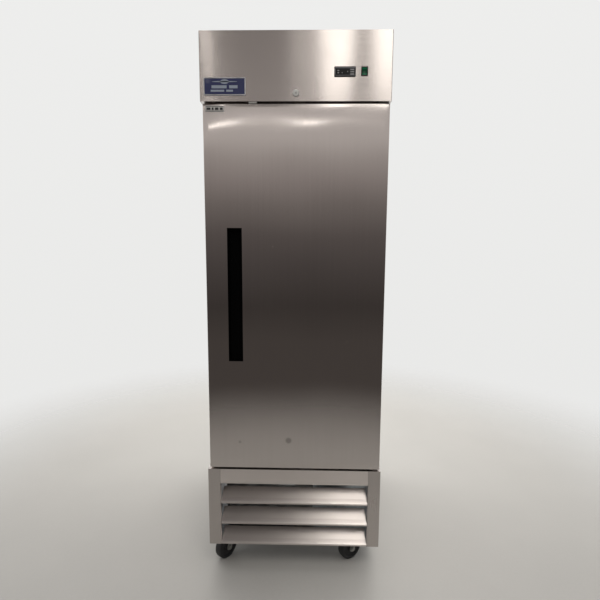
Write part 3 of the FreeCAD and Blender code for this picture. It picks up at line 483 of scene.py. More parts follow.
def turned(bm, outline, centre, axis, steps=32, closed=False):
    """Spins an outline of (radius, height) points round an axis."""
    before = set(bm.verts)
    points = [bm.verts.new((radius, 0.0, height)) for radius, height in outline]
    edges = [bm.edges.new(pair) for pair in zip(points, points[1:])]
    if closed:
        edges.append(bm.edges.new((points[-1], points[0])))
    bmesh.ops.spin(bm, geom=points + edges, cent=(0, 0, 0), axis=(0, 0, 1), dvec=(0, 0, 0),
                   angle=math.tau, steps=steps, use_merge=True, use_duplicate=False)
    fresh = [vert for vert in bm.verts if vert not in before]
    bmesh.ops.remove_doubles(bm, verts=fresh, dist=HAIR / 10)
    fresh = [vert for vert in bm.verts if vert not in before]
    bmesh.ops.transform(bm, matrix=aim(axis, centre), verts=fresh)
    return fresh


def hoop(bm, radius, wire, centre, axis, steps=40, sides=8):
    """Adds a ring of round wire."""
    outline = []
    for number in range(sides):
        angle = math.tau * number / sides
        outline.append((radius + wire * math.cos(angle), wire * math.sin(angle)))
    return turned(bm, outline, centre, axis, steps, closed=True)


def bar(bm, start, end, radius, sides=10):
    """Adds a round bar between two points."""
    start = Vector(start)
    end = Vector(end)
    run = end - start
    made = bmesh.ops.create_cone(bm, cap_ends=True, segments=sides, radius1=radius, radius2=radius,
                                 depth=run.length)["verts"]
    bmesh.ops.transform(bm, matrix=aim(run, (start + end) / 2), verts=made)
    return made


def screw_head(bm, centre, axis, radius):
    """Adds a pan head with a round recess, on a surface whose outward axis is given."""
    height = radius * 0.55
    outline = [(0.0, height * 0.55), (radius * 0.30, height * 0.55), (radius * 0.34, height),
               (radius * 0.70, height * 0.92), (radius, height * 0.30), (radius, -HAIR), (0.0, -HAIR)]
    return turned(bm, outline, centre, axis, steps=12)


def facing(bm, axis, level):
    """The faces that lie at a level on an axis."""
    index = (X, Y, Z).index(axis)
    return [face for face in bm.faces if all(abs(vert.co[index] - level) < HAIR for vert in face.verts)]


def slice_at(bm, axis, levels):
    """Cuts the whole mesh at levels on an axis."""
    for level in levels:
        geometry = bm.verts[:] + bm.edges[:] + bm.faces[:]
        bmesh.ops.bisect_plane(bm, geom=geometry, plane_co=axis * level, plane_no=axis, dist=HAIR / 100)


def spaced(low, high, count):
    """Levels between two ends, without the ends."""
    return [low + (high - low) * number / count for number in range(1, count)]


def flat_face(bm, low, high, level, outward):
    """Adds one upright face at a y level, that faces along outward."""
    corners = [(low.x, low.z), (high.x, low.z), (high.x, high.z), (low.x, high.z)]
    face = bm.faces.new([bm.verts.new((x, level, z)) for x, z in corners])
    face.normal_update()
    if face.normal.dot(outward) < 0:
        face.normal_flip()
    return face


def round_corners(bm, face, radius, segments=4):
    """Rounds the corners of a mesh that is one flat face, and returns the face."""
    bmesh.ops.bevel(bm, geom=list(face.verts), offset=radius, offset_type="OFFSET", segments=segments,
                    profile=0.5, affect="VERTICES", material=-1, clamp_overlap=True)
    bm.faces.ensure_lookup_table()
    return bm.faces[0]


def stepped(bm, face, steps):
    """Insets a face again and again by (width, rise) pairs, and returns the last one."""
    for width, rise in steps:
        bmesh.ops.inset_region(bm, faces=[face], thickness=width, depth=rise, use_even_offset=True,
                               use_boundary=True)
        face.normal_update()
    return face


def finish_piece(name, bm, finish, body, replaces=(), crease=35.0, recalculate=True):
    """Makes the object, gives it its finish and lets it ride on its body."""
    if recalculate:
        bmesh.ops.recalc_face_normals(bm, faces=bm.faces[:])
    mesh = bpy.data.meshes.new(name)
    bm.to_mesh(mesh)
    bm.free()
    mesh.materials.append(FINISHES[finish])
    mesh.shade_smooth()
    mesh.set_sharp_from_angle(angle=math.radians(crease))
    made = bpy.data.objects.new(name, mesh)
    bpy.context.scene.collection.objects.link(made)
    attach(made, body)
    if replaces:
        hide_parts(*replaces)
    return made


# Finishes on the frame --------------------

class REACHIN_OT_finishes(bpy.types.Operator):
    """Make every finish and put it on the CAD nodes"""
    bl_idname = "reachin.finishes"
    bl_label = "Finishes"

    def execute(self, context):
        FINISHES.update(make_finishes(context.scene.reachin_colours))
        for name, node in frame["nodes"].items():
            for place in node.material_slots:
                slot = place.material.name.split(".")[0]
                place.material = FINISHES[NODE_FINISHES.get(name, slot)]
        return {"FINISHED"}


# Header --------------------

class REACHIN_OT_badge(bpy.types.Operator):
    """Coloured field and plain raised bars of the name plate"""
    bl_idname = "reachin.badge"
    bl_label = "Name plate"

    def execute(self, context):
        low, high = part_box("badge_plate")
        rim = 0.0045
        proud = 0.0004
        ink = 0.0003            # height of the bars over the field
        bm = bmesh.new()
        field = cuboid(bm, (low.x + rim, low.y - proud, low.z + rim), (high.x - rim, low.y, high.z - rim))
        corners = [edge for edge in edges_of(field) if abs((edge.verts[0].co - edge.verts[1].co).y) > HAIR]
        round_edges(bm, corners, 0.002)
        finish_piece("badge_field", bm, "badge_blue", "cabinet")
        bm = bmesh.new()
        face = flat_face(bm, low, high, low.y - HAIR, -Y)
        face = round_corners(bm, face, 0.004)
        stepped(bm, face, [(0.0006, 0.0005), (0.0024, 0.0), (0.0004, -0.0004)])
        bmesh.ops.delete(bm, geom=[face], context="FACES_ONLY")
        finish_piece("badge_rim", bm, "badge_silver", "cabinet", recalculate=False)
        face = low.y - proud
        size = high - low
        bm = bmesh.new()
        # Bars, in shares of the plate: middle, height, and where each starts and ends
        words = ((0.47, 0.17, ((0.19, 0.55), (0.61, 0.81))), (0.25, 0.11, ((0.17, 0.49), (0.54, 0.70))))
        for up, tall, spans in words:
            z = low.z + size.z * up
            for start, end in spans:
                rounded_box(bm, (low.x + size.x * start, face - ink, z - size.z * tall / 2),
                            (low.x + size.x * end, face, z + size.z * tall / 2), 0.0001, 1)
        centre = (low.x + size.x / 2, face - ink / 2, low.z + size.z * 0.76)
        for half, tall in ((0.30, 0.030), (0.10, 0.13)):
            disc = bmesh.ops.create_cone(bm, cap_ends=True, segments=32, radius1=1.0, radius2=1.0, depth=ink)
            shape = Matrix.Diagonal((size.x * half, size.z * tall, 1.0, 1.0))
            bmesh.ops.transform(bm, matrix=aim(-Y, centre) @ shape, verts=disc["verts"])
        finish_piece("badge_bars", bm, "badge_print", "cabinet")
        return {"FINISHED"}


class REACHIN_OT_controls(bpy.types.Operator):
    """Trim of the temperature controller and the rocker of the power switch"""
    bl_idname = "reachin.controls"
    bl_label = "Controls"

    def execute(self, context):
        low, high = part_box("controller_bezel")
        lens_low, lens_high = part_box("controller_display")
        left, right = low.x + 0.0026, high.x - 0.0026
        bars = (((left, high.z - 0.0060), (right, high.z - 0.0018), 0.0004, 0.0002),
                ((left, low.z + 0.0038), (right, low.z + 0.0054), 0.0003, 0.0001),
                ((low.x + 0.0012, low.z + 0.007), (lens_low.x - 0.0010, high.z - 0.008), 0.0003, 0.0001))
        bm = bmesh.new()
        for start, end, proud, radius in bars:
            rounded_box(bm, (start[0], low.y - proud, start[1]), (end[0], low.y, end[1]), radius, 2)
        finish_piece("controller_trim", bm, "button_grey", "cabinet")
        bm = bmesh.new()
        size = lens_high - lens_low
        half = 0.0016
        # Marks, in shares of the window: start, end and height of the middle
        marks = ((0.14, 0.26, 0.68), (0.14, 0.26, 0.30), (0.48, 0.52, 0.30), (0.90, 0.95, 0.50))
        for start, end, up in marks:
            z = lens_low.z + size.z * up
            cuboid(bm, (lens_low.x + size.x * start, lens_low.y - HAIR, z - half),
                   (lens_low.x + size.x * end, lens_low.y, z + half))
        finish_piece("display_marks", bm, "grey_plastic", "cabinet")
        for name in ("button_set", "button_down", "button_up"):
            low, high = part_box(name)
            bm = bmesh.new()
            side, edge = 0.0015, 0.0008
            rounded_box(bm, (low.x + side, low.y - HAIR, low.z + edge),
                        (high.x - side, low.y + HAIR, high.z - edge), 0.00008, 2)
            finish_piece(f"{name}_cap", bm, "grey_plastic", name)
        self.rocker()
        return {"FINISHED"}

    def rocker(self):
        """A rocker with a hollowed face, tipped as the CAD rocker is."""
        low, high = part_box("rocker_switch")
        pivot = Vector(JOINTS["power_rocker"]["pos_m"])
        half = 0.0114
        front = -0.0036
        hollow = 0.0011
        back = 0.0048
        taper = 0.0024
        tipped = math.radians(6.0)
        shares = [1.0 - number / 5 for number in range(11)]
        face = [(half * share, front + hollow * math.cos(1.5 * share) ** 2) for share in shares]
        section = face + [(taper - half, back), (half - taper, back)]
        place = Matrix.Translation((0, pivot.y, pivot.z)) @ Matrix.Rotation(tipped, 4, "X")
        bm = bmesh.new()
        side = bm.faces.new([bm.verts.new((low.x, y, z)) for z, y in section])
        fresh = bmesh.ops.extrude_face_region(bm, geom=[side])["geom"]
        moved = [item for item in fresh if isinstance(item, bmesh.types.BMVert)]
        bmesh.ops.translate(bm, vec=(high.x - low.x, 0, 0), verts=moved)
        rims = [edge for edge in bm.edges if abs(edge.verts[0].co.x - edge.verts[1].co.x) < HAIR]
        round_edges(bm, rims, 0.0004, 2)
        bmesh.ops.transform(bm, matrix=place, verts=bm.verts[:])
        finish_piece("rocker_cap", bm, "switch_green", "rocker", replaces=["rocker_switch"],
                     crease=50.0)


class REACHIN_OT_lock(bpy.types.Operator):
    """Turned face ring of the lock's barrel, and a flat dark oval on its plug as painted shade for the keyway
    """
    bl_idname = "reachin.lock"
    bl_label = "Lock"

    def execute(self, context):
        low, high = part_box("lock_barrel")
        centre = Vector(((low.x + high.x) / 2, low.y, (low.z + high.z) / 2))
        radius = (high.x - low.x) / 2
        length = high.y - low.y
        disc = 0.0099           # radius of the recess for the plug's face
        recess = 0.0055
        bore = 0.00708
        body = 0.0105
        head = 0.0025
        outline = [(disc, 0.0004), (disc + 0.0004, -0.0002), (radius - 0.0008, 0.0001), (radius, 0.0009),
                   (radius, head), (body, head), (body, length), (bore, length), (bore, recess),
                   (disc, recess)]
        bm = bmesh.new()
        turned(bm, outline, centre, Y, steps=48, closed=True)
        finish_piece("lock_barrel_face", bm, "lock_chrome", "cabinet", replaces=["lock_barrel"])
        plug_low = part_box("lock_plug")[0]
        # Painted shade: a flat near-black oval, a hair thick, on the plug's face stands for the dark hollow
        # of the keyway
        bm = bmesh.new()
        keyway = bmesh.ops.create_circle(bm, cap_ends=True, segments=24, radius=1.0)["verts"]
        shape = Matrix.Diagonal((0.0016, 0.0036, 1.0, 1.0))
        at = (centre.x, plug_low.y + HAIR, centre.z)
        bmesh.ops.transform(bm, matrix=aim(-Y, at) @ shape, verts=keyway)
        bmesh.ops.solidify(bm, geom=bm.faces[:], thickness=HAIR)
        finish_piece("lock_keyway_painted_shade", bm, "keyway_painted_shade", "lock")
        return {"FINISHED"}


# Door --------------------

def cam_slot(level):
    """The notch at a level for the lock's cam: its limits on X and on Y."""
    centre = sum(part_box("lock_barrel"), Vector()) / 2
    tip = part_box("lock_plug")[1]
    spare = 0.0025
    half = 0.009
    front, back = 0.005, 0.002
    across = math.sqrt((tip.x - centre.x + spare) ** 2 - (centre.z - level) ** 2)
    return (centre.x - half, centre.x + across), (tip.y - front, tip.y + back)


def within(face, first, second, sides):
    """Whether a face's middle lies between limits on two axes."""
    middle = face.calc_center_median()
    return all(low < middle.dot(axis) < high for axis, (low, high) in zip((first, second), sides))


def sheet_wave(place, low, high):
    """How far a point of the door's front is moved back, in heights of a wave."""
    across = (place.x - low.x) / (high.x - low.x)
    up = (place.z - low.z) / (high.z - low.z)
    calm = math.sin(math.pi * across) * math.sin(math.pi * up) ** 0.5
    roll = math.sin(across * 9.0 + up * 5.0) * math.cos(up * 17.0 - across * 3.0)
    # A bend runs across the sheet below its top edge, and leans more or less on the way
    below_top, reach = 0.053, 0.11
    lean, swing, turns, peak = 7.0, 6.0, 12.8, 0.565
    corner, corner_width = 50.0, 0.06
    crown = high.z - below_top - place.z
    near = math.exp(-(crown / reach) ** 2)
    lean += swing * math.cos(turns * (across - peak)) + corner * math.exp(-across / corner_width)
    return calm * roll * (1.0 - near) - crown * near * lean


class REACHIN_OT_door_skin(bpy.types.Operator):
    """Folded stainless skin of the door, with the shallow waves of thin sheet"""
    bl_idname = "reachin.door_skin"
    bl_label = "Door skin"

    def execute(self, context):
        sizes = context.scene.reachin_sizes
        low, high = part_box("door_skin")
        pull_low, pull_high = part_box("handle_pocket")
        hole = ((pull_low.x + PULL_WALL, pull_high.x - PULL_WALL),
                (pull_low.z + PULL_WALL, pull_high.z - PULL_WALL))
        bm = bmesh.new()
        cuboid(bm, low, high)
        bmesh.ops.delete(bm, geom=facing(bm, Y, high.y), context="FACES")
        front = facing(bm, Y, low.y)[0]
        round_edges(bm, list(front.edges), sizes.fold, 4)
        slot = cam_slot(high.z)
        slice_at(bm, X, list(hole[0]) + list(slot[0]) + spaced(low.x, high.x, 32))
        slice_at(bm, Y, slot[1])
        slice_at(bm, Z, list(hole[1]) + spaced(low.z, high.z, 36) + spaced(high.z - 0.16, high.z, 14))
        inside = [face for face in facing(bm, Y, low.y) if within(face, X, Z, hole)]
        inside += [face for face in facing(bm, Z, high.z) if within(face, X, Y, slot)]
        bmesh.ops.delete(bm, geom=inside, context="FACES")
        for vert in bm.verts:
            if abs(vert.co.y - low.y) < HAIR:
                vert.co.y += sizes.wave * sheet_wave(vert.co, low, high)
        bmesh.ops.recalc_face_normals(bm, faces=bm.faces[:])
        bmesh.ops.solidify(bm, geom=bm.faces[:], thickness=sizes.sheet)
        finish_piece("door_panel", bm, "door_stainless", "door", replaces=["door_skin"],
                     recalculate=False)
        return {"FINISHED"}


class REACHIN_OT_pull(bpy.types.Operator):
    """Black moulded cup of the recessed pull"""
    bl_idname = "reachin.pull"
    bl_label = "Recessed pull"

    def execute(self, context):
        sizes = context.scene.reachin_sizes
        low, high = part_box("handle_pocket")
        lip = sizes.pull_lip
        grow = Vector((PULL_WALL - lip, 0, PULL_WALL - lip))
        depth = high.y - low.y - PULL_WALL
        bm = bmesh.new()
        face = flat_face(bm, low + grow, high - grow, low.y + 0.0006, -Y)
        face = stepped(bm, face, [(0.0004, 0.0005), (lip - 0.0004, 0.0), (0.0006, -0.0009), (0.0012, -depth)])
        round_edges(bm, list(face.edges), 0.006, 4)
        bmesh.ops.recalc_face_normals(bm, faces=bm.faces[:])
        if sum(face.normal.y * face.calc_area() for face in bm.faces) > 0:
            bmesh.ops.reverse_faces(bm, faces=bm.faces[:])
        bmesh.ops.solidify(bm, geom=bm.faces[:], thickness=0.0004)
        finish_piece("pull_cup", bm, "pull_black", "door", replaces=["handle_pocket"],
                     recalculate=False)
        return {"FINISHED"}


class REACHIN_OT_tag(bpy.types.Operator):
    """Small pale tag at the door's upper left corner, without lettering"""
    bl_idname = "reachin.tag"
    bl_label = "Door tag"

    def execute(self, context):
        low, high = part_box("door_skin")
        left = low.x + 0.010
        top = high.z - 0.0065
        wide = 0.067
        tall = 0.0216
        proud = 0.0006
        gap = 0.0045            # between the plate's frame and its marks
        face = low.y - proud
        bm = bmesh.new()
        rounded_box(bm, (left, face, top - tall), (left + wide, low.y + proud, top), 0.0004, 2)
        finish_piece("tag_plate", bm, "white_plastic", "door")
        bm = bmesh.new()
        line = 0.0016
        edge = 0.0022
        raised = face - 0.0001
        box_low = Vector((left + edge, raised, top - tall + edge))
        box_high = Vector((left + wide - edge, face, top - edge))
        cuboid(bm, box_low, (box_high.x, face, box_low.z + line))
        cuboid(bm, (box_low.x, raised, box_high.z - line), box_high)
        span = box_high.x - box_low.x
        for start, end in ((0.04, 0.26), (0.34, 0.44), (0.52, 0.72), (0.80, 0.96)):
            cuboid(bm, (box_low.x + span * start, raised, box_low.z + gap),
                   (box_low.x + span * end, face, box_high.z - gap))
        finish_piece("tag_bars", bm, "tag_print", "door")
        return {"FINISHED"}


class REACHIN_OT_door_inside(bpy.types.Operator):
    """Inner panel of the door with its raised field, and the magnetic gasket"""
    bl_idname = "reachin.door_inside"
    bl_label = "Door inside"

    def execute(self, context):
        low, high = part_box("door_inner_panel")
        sheet = context.scene.reachin_sizes.sheet
        rest_low, rest_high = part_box("door_gasket")
        border = 0.054
        border_top = 0.052
        bm = bmesh.new()
        cuboid(bm, low, (high.x, low.y + sheet, high.z))
        inner_low = rest_low + Vector((border, 0, border))
        inner_high = rest_high - Vector((border, 0, border_top))
        level = low.y + sheet
        face = flat_face(bm, inner_low, inner_high, level, Y)
        stepped(bm, face, [(0.014, high.y - level), (0.036, 0.0), (0.006, -0.004), (0.034, 0.0)])
        corners = [edge for edge in bm.edges
                   if edge.calc_face_angle(0.0) > 0.2 and edge.verts[0].co.y > level + HAIR]
        round_edges(bm, corners, 0.003, 3)
        finish_piece("door_inner_field", bm, "liner_aluminium", "door", replaces=["door_inner_panel"])
        bm = bmesh.new()
        low, high = rest_low, rest_high
        rise = high.y - low.y
        face = flat_face(bm, low, high, low.y, Y)
        face = stepped(bm, face, [(0.0008, rise * 0.35), (0.0012, -rise * 0.10), (0.0012, rise * 0.75),
                                  (0.0052, 0.0), (0.0008, -rise * 0.15), (0.0008, rise * 0.15), (0.0052, 0.0),
                                  (0.0012, -rise * 0.70), (0.0012, rise * 0.05), (0.0008, -rise * 0.35)])
        bmesh.ops.delete(bm, geom=[face], context="FACES")
        rims = [edge for edge in bm.edges if edge.is_boundary]
        bmesh.ops.bridge_loops(bm, edges=rims)
        finish_piece("magnetic_gasket", bm, "gasket_rubber", "door", replaces=["door_gasket"],
                     crease=50.0)
        return {"FINISHED"}


# Grille --------------------

class REACHIN_OT_louvres(bpy.types.Operator):
    """Bent louvre blades of the machine compartment"""
    bl_idname = "reachin.louvres"
    bl_label = "Louvres"

    def execute(self, context):
        sizes = context.scene.reachin_sizes
        low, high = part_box("grille_blades")
        blades = 3
        rise = 0.0435
        pitch = (high.z - low.z - rise) / (blades - 1)
        section = [(0.010, 0.0), (0.0, 0.0), (0.0, 0.007), (0.003, 0.0105), (0.017, 0.0175), (0.054, rise)]
        lip = 0.004             # depth of the front edge that isn't cut on the slant
        end_rise, end_run = 0.004, 0.056
        bm = bmesh.new()
        for number in range(blades):
            level = low.z + pitch * number
            line = [bm.verts.new((low.x, low.y + y, level + z)) for y, z in section]
            edges = [bm.edges.new(pair) for pair in zip(line, line[1:])]
            made = bmesh.ops.extrude_edge_only(bm, edges=edges)["geom"]
            moved = [item for item in made if isinstance(item, bmesh.types.BMVert)]
            bmesh.ops.translate(bm, vec=(high.x - low.x, 0, 0), verts=moved)
        bends = [edge for edge in bm.edges if len(edge.link_faces) == 2]
        round_edges(bm, bends, sizes.blade_bend, 3)
        for side in (-1, 1):
            end = high.x if side > 0 else low.x
            outward = Vector((side * end_run, end_rise, 0)).normalized()
            geometry = bm.verts[:] + bm.edges[:] + bm.faces[:]
            bmesh.ops.bisect_plane(bm, geom=geometry, plane_co=(end, low.y + lip, 0), plane_no=outward,
                                   clear_outer=True)
        bmesh.ops.recalc_face_normals(bm, faces=bm.faces[:])
        bmesh.ops.solidify(bm, geom=bm.faces[:], thickness=sizes.sheet)
        made = finish_piece("louvre_blades", bm, "louvre_stainless", "cabinet", replaces=["grille_blades"])
        # A shallow texture space turns the grain's highlight the same way over the whole blade
        made.data.use_auto_texspace = False
        made.data.texspace_location = (0.0, 1.0, 0.0)
        made.data.texspace_size = (1.0, 0.05, 1.0)
        return {"FINISHED"}


# Casters --------------------

class REACHIN_OT_wheels(bpy.types.Operator):
    """Four moulded caster wheels with a crowned tread and a dished hub"""
    bl_idname = "reachin.wheels"
    bl_label = "Caster wheels"

    def execute(self, context):
        for name in CASTERS:
            joint = JOINTS[f"wheel_spin_{name}"]
            centre = Vector(joint["pos_m"])
            radius = centre.z
            half = 0.016
            bore = 0.00605
            dish = half - 0.0050
            side = [(bore, half), (0.0155, half), (0.0165, half - 0.0010), (0.0175, dish),
                    (0.0370, dish), (0.0385, half - 0.0010), (0.0395, half), (0.0440, half),
                    (0.0465, half - 0.0008), (0.0486, half - 0.0030), (0.0496, half - 0.0060),
                    (radius, half * 0.35)]
            outline = side + [(reach, -height) for reach, height in reversed(side)]
            bm = bmesh.new()
            turned(bm, outline, centre, joint["axis"], steps=64, closed=True)
            finish_piece(f"wheel_{name}_tread", bm, "wheel_black", f"wheel_{name}",
                         replaces=[f"caster_wheel_{name}"])
        return {"FINISHED"}


# Fans --------------------

def fan_mesh(bm, centre, axis, radius, hub, blades, thick):
    """A hub with curved blades, its front along the axis."""
    depth = 0.022
    most_camber = 0.0035
    outline = [(0.0, depth * 0.62), (hub * 0.75, depth * 0.58), (hub * 0.94, depth * 0.45),
               (hub, depth * 0.2), (hub, -depth / 2), (0.0, -depth / 2)]
    turned(bm, outline, centre, axis, steps=32)
    for number in range(blades):
        before = set(bm.verts)
        grid = bmesh.ops.create_grid(bm, x_segments=6, y_segments=6, size=0.5)["verts"]
        for vert in grid:
            reach = vert.co.y + 0.5
            chord = vert.co.x * radius * (0.42 + 0.30 * reach)
            twist = math.radians(36.0 - 16.0 * reach)
            sweep = 0.25 * reach * reach
            angle = chord * math.cos(twist) / (hub + (radius - hub) * (0.35 + 0.65 * reach)) + sweep
            distance = hub * 0.85 + (radius - hub * 0.85) * reach
            camber = most_camber * (1.0 - (2.0 * vert.co.x) ** 2)
            height = chord * math.sin(twist) + camber
            vert.co = (distance * math.cos(angle), distance * math.sin(angle), height)
        faces = [face for face in bm.faces if all(vert not in before for vert in face.verts)]
        bmesh.ops.solidify(bm, geom=faces, thickness=thick)
        fresh = [vert for vert in bm.verts if vert not in before]
        turn = Matrix.Rotation(math.tau * number / blades, 4, "Z")
        bmesh.ops.transform(bm, matrix=aim(axis, centre) @ turn, verts=fresh)


def guard_mesh(bm, centre, axis, radius, wire):
    """Rings and spokes of a finger guard."""
    axis = Vector(axis)
    across = axis.orthogonal().normalized()
    rings = 6
    spokes = 8
    for number in range(1, rings + 1):
        hoop(bm, radius * number / rings, wire, centre, axis, steps=48, sides=6)
    for number in range(spokes):
        spoke = across.copy()
        spoke.rotate(Matrix.Rotation(math.tau * number / spokes, 3, axis))
        base = Vector(centre) - axis * wire * 1.6
        bar(bm, base + spoke * radius * 0.1, base + spoke * (radius + 0.006), wire * 1.1, 6)


class REACHIN_OT_fans(bpy.types.Operator):
    """Fans of the evaporator and the condenser, and the evaporator fan's wire guard"""
    bl_idname = "reachin.fans"
    bl_label = "Fans"

    def execute(self, context):
        wire = context.scene.reachin_sizes.guard_wire
        for name, axis, hub in (("evaporator_fan", -Z, 0.020), ("condenser_fan", -Y, 0.024)):
            low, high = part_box(f"{name}_blade")
            joint = JOINTS[f"{name}_spin"]
            middle = (low + high) / 2
            pin = Vector(joint["pos_m"])
            centre = pin + axis * (middle - pin).dot(axis)
            radius = max((high - low).x, (high - low).y, (high - low).z) / 2
            bm = bmesh.new()
            fan_mesh(bm, centre, axis, radius, hub, 5, 0.0014)
            finish_piece(f"{name}_rotor", bm, "fan_aluminium", name, replaces=[f"{name}_blade"],
                         crease=50.0)
        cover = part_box("evaporator_cover")[0].z
        pin = Vector(JOINTS["evaporator_fan_spin"]["pos_m"])
        guard = 0.104
        bm = bmesh.new()
        guard_mesh(bm, (pin.x, pin.y, cover - wire * 1.2), -Z, guard, wire)
        finish_piece("evaporator_guard", bm, "shelf_wire", "cabinet")
        return {"FINISHED"}


# Screws --------------------

class REACHIN_OT_screws(bpy.types.Operator):
    """Pan head screws of the back, the top and the air duct"""
    bl_idname = "reachin.screws"
    bl_label = "Screws"

    def execute(self, context):
        radius = context.scene.reachin_sizes.screw
        low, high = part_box("back_panel")
        margin = 0.012
        bm = bmesh.new()
        for z in spaced(low.z - 0.06, high.z + 0.06, 10):
            for x in (low.x + margin, high.x - margin):
                screw_head(bm, (x, high.y, z), Y, radius)
        for x in spaced(low.x, high.x, 5):
            for z in (low.z + margin, high.z - margin):
                screw_head(bm, (x, high.y, z), Y, radius)
        finish_piece("back_screws", bm, "hinge_steel", "cabinet")
        low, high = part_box("top_panel")
        bm = bmesh.new()
        for y in spaced(low.y, high.y, 5):
            for x in (low.x + margin, high.x - margin):
                screw_head(bm, (x, y, high.z - radius * 0.4), Z, radius)
        finish_piece("top_screws", bm, "hinge_steel", "cabinet")
        low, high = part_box("evaporator_cover")
        bm = bmesh.new()
        for x in (low.x + margin * 1.5, high.x - margin * 1.5):
            for z in (low.z + margin * 1.5, high.z - margin * 1.5):
                screw_head(bm, (x, low.y, z), -Y, radius)
            for y in spaced(low.y, high.y, 4):
                screw_head(bm, (x, y, low.z), -Z, radius)
        finish_piece("duct_screws", bm, "shelf_steel", "cabinet")
        return {"FINISHED"}


# Studio --------------------

def studio_floor(colour):
    """A pale floor that fades out well away from the refrigerator."""
    made = Finish("studio_floor")
    mottle = made.noise((3.0, 3.0, 3.0), detail=5.0)
    fine = made.noise((90.0, 90.0, 90.0), detail=2.0)
    base = made.mix(0.7 * mottle + 0.3 * fine, tint(colour, 0.90), tint(colour, 1.06))
    away = made.vector("LENGTH", made.place, made.place, "Value")
    fade = 1.0 - made.step(away, 1.3, 3.0)
    made.surface(base, 0.55 + 0.2 * mottle, made.bump(fine, 0.0002), alpha=fade)
    bm = bmesh.new()
    bmesh.ops.create_circle(bm, cap_ends=True, segments=96, radius=3.1)
    bmesh.ops.translate(bm, vec=(0, 0, -HAIR), verts=bm.verts[:])
    mesh = bpy.data.meshes.new("studio_floor")
    bm.to_mesh(mesh)
    bm.free()
    mesh.materials.append(made.material)
    floor = bpy.data.objects.new("studio_floor", mesh)
    bpy.context.scene.collection.objects.link(floor)


# Colours of the surround from straight down (0) to straight up (1)
ROOM_STOPS = (
    (0.0, (0.080, 0.071, 0.066)), (0.39, (0.078, 0.069, 0.064)), (0.43, (0.058, 0.051, 0.048)),
    (0.476, (0.090, 0.080, 0.077)), (0.51, (0.125, 0.111, 0.107)), (0.545, (0.215, 0.195, 0.186)),
    (0.568, (0.32, 0.29, 0.28)), (0.59, (0.43, 0.40, 0.385)), (0.612, (0.59, 0.56, 0.54)),
    (0.640, (0.62, 0.59, 0.57)), (0.655, (0.30, 0.28, 0.27)), (0.70, (0.26, 0.24, 0.23)),
    (1.0, (0.20, 0.19, 0.185)))
PALE_STOPS = ((0.0, (0.78, 0.78, 0.77)), (0.5, (0.83, 0.83, 0.82)), (1.0, (0.88, 0.88, 0.87)))


def studio_sky(scene):
    """A pale surround behind and beside the refrigerator, and a dim room with a bright ceiling before it."""
    world = bpy.data.worlds.new("studio")
    scene.world = world
    world.use_nodes = True
    made = Nodes(world.node_tree)
    place = made.node("ShaderNodeTexCoord", {}, {}, "Generated")
    height = made.node("ShaderNodeSeparateXYZ", {}, {"Vector": place}, "Z")
    depth = made.node("ShaderNodeSeparateXYZ", {}, {"Vector": place}, "Y")
    up = 0.5 + 0.5 * height
    room = made.node("ShaderNodeValToRGB", {"stops": ROOM_STOPS}, {"Fac": up})
    pale = made.node("ShaderNodeValToRGB", {"stops": PALE_STOPS}, {"Fac": up})
    behind = made.step(depth, -0.35, 0.15)
    sockets = {0: behind, 6: room, 7: pale}
    colour = made.node("ShaderNodeMix", {"data_type": "RGBA"}, sockets, 2)
    feed(world.node_tree, world.node_tree.nodes["Background"].inputs["Color"], colour)


CEILING = 3.45
HEADER_AIM = (0.1, -0.42, 1.90)
# Name, place, what it is turned to, width and height, power, lean on its axis and spread in degrees
LIGHTS = (
    ("ceiling_light", (0.80, -0.75, 3.4), (0.80, -0.75, 0.0), (1.2, 1.2), 1.9, 0.0, 100),
    ("backdrop_light", (0.0, 1.6, 3.6), (0.0, 1.6, 0.0), (4.5, 1.8), 55.0, 0.0, 110),
    ("strip_middle", (0.245, -2.33, CEILING), HEADER_AIM, (0.27, 2.2), 4.1, 0.0, 180),
    ("strip_right", (0.615, -2.33, CEILING), HEADER_AIM, (0.27, 2.2), 4.2, 0.0, 180),
    ("strip_left", (-0.76, -2.2, CEILING), (-0.2, -0.42, 1.95), (0.035, 1.9), 0.68, 0.10, 180),
    ("strip_faint", (0.0, -2.33, CEILING), (0.0, -0.42, 1.90), (0.24, 2.2), 0.55, 0.0, 180),
    ("louvre_light", (0.46, -1.42, 1.60), (0.2, -0.42, 0.24), (0.50, 0.55), 0.7, 0.0, 50),
    ("far_light_0", (-2.6, -12.0, 4.92), (0.0, -0.4, 1.7), (0.8, 0.10), 0.70, 0.0, 180),
    ("far_light_1", (-0.1, -12.0, 4.92), (0.0, -0.4, 1.7), (0.8, 0.10), 0.76, 0.0, 180),
    ("far_light_2", (-0.4, -12.0, 4.92), (0.0, -0.4, 1.7), (6.0, 0.10), 0.50, 0.0, 180),
)


def soft_light(scene, name, place, towards, size, power, lean, spread):
    """A rectangular light that shows in the metal but not in the picture itself."""
    lamp = bpy.data.lights.new(name, "AREA")
    lamp.shape = "RECTANGLE"
    lamp.size, lamp.size_y = size
    lamp.energy = power
    lamp.spread = math.radians(spread)
    lamp.color = (1.0, 0.97, 0.92)
    made = bpy.data.objects.new(name, lamp)
    made.location = place
    turn = (Vector(towards) - Vector(place)).to_track_quat("-Z", "Y") @ Quaternion(Z, lean)
    made.rotation_euler = turn.to_euler()
    made.visible_camera = False
    scene.collection.objects.link(made)


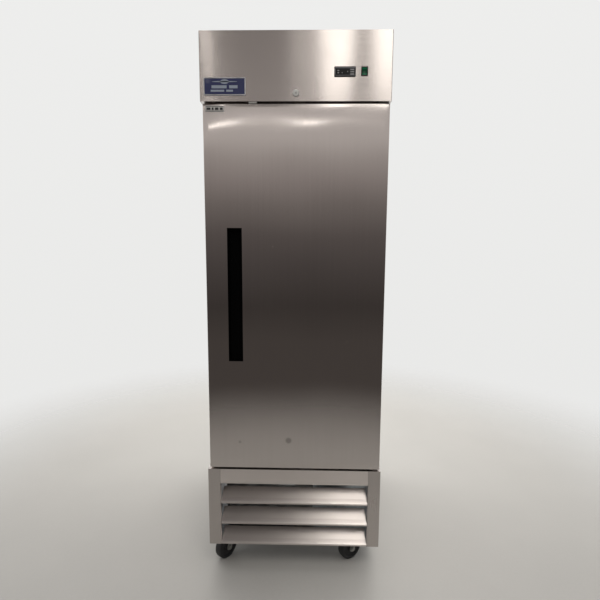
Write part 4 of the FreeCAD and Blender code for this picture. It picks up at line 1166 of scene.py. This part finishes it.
def studio_camera(scene):
    """A wide camera at a standing height, a little to the right of the middle and looking down."""
    across, before, up = 0.0563, 1.622, 1.3292
    yaw, pitch, roll = (math.radians(angle) for angle in (-1.275, 7.276, 0.306))
    camera = bpy.data.cameras.new("camera")
    camera.lens = 26.22
    made = bpy.data.objects.new("camera", camera)
    place = Matrix.Translation((across, PACKED_BOX[0].y + LOCK_PROUD - before, up))
    turn = Matrix.Rotation(-yaw, 4, "Z") @ Matrix.Rotation(math.pi / 2 - pitch, 4, "X")
    made.matrix_world = place @ turn @ Matrix.Rotation(roll, 4, "Z")
    scene.collection.objects.link(made)
    scene.camera = made


class REACHIN_OT_stage(bpy.types.Operator):
    """Floor, surround, lights and camera"""
    bl_idname = "reachin.stage"
    bl_label = "Studio"

    def execute(self, context):
        scene = context.scene
        studio_floor(tuple(scene.reachin_colours.floor))
        studio_sky(scene)
        for light in LIGHTS:
            soft_light(scene, *light)
        studio_camera(scene)
        scene.view_settings.view_transform = "Standard"
        return {"FINISHED"}


# Panel and registration --------------------

OPERATORS = (
    REACHIN_OT_finishes, REACHIN_OT_badge, REACHIN_OT_controls, REACHIN_OT_lock, REACHIN_OT_door_skin,
    REACHIN_OT_pull, REACHIN_OT_tag, REACHIN_OT_door_inside, REACHIN_OT_louvres, REACHIN_OT_wheels,
    REACHIN_OT_fans, REACHIN_OT_screws, REACHIN_OT_stage,
)


class REACHIN_PT_panel(bpy.types.Panel):
    """The pieces of the refrigerator, in the order that they are made"""
    bl_idname = "REACHIN_PT_panel"
    bl_label = "Reach-in refrigerator"
    bl_space_type = "VIEW_3D"
    bl_region_type = "UI"
    bl_category = "Reach-in"

    def draw(self, context):
        for group in (context.scene.reachin_sizes, context.scene.reachin_colours):
            for name in group.__annotations__:
                self.layout.prop(group, name)
        for operator in OPERATORS:
            self.layout.operator(operator.bl_idname)


CLASSES = (REACHIN_PG_sizes, REACHIN_PG_colours) + OPERATORS + (REACHIN_PT_panel,)


def register():
    for made in CLASSES:
        bpy.utils.register_class(made)
    bpy.types.Scene.reachin_sizes = bpy.props.PointerProperty(type=REACHIN_PG_sizes)
    bpy.types.Scene.reachin_colours = bpy.props.PointerProperty(type=REACHIN_PG_colours)


def unregister():
    del bpy.types.Scene.reachin_colours
    del bpy.types.Scene.reachin_sizes
    for made in reversed(CLASSES):
        bpy.utils.unregister_class(made)


def main():
    register()
    for operator in OPERATORS:
        group, name = operator.bl_idname.split(".")
        getattr(getattr(bpy.ops, group), name)()


if __name__ == "__main__":
    main()
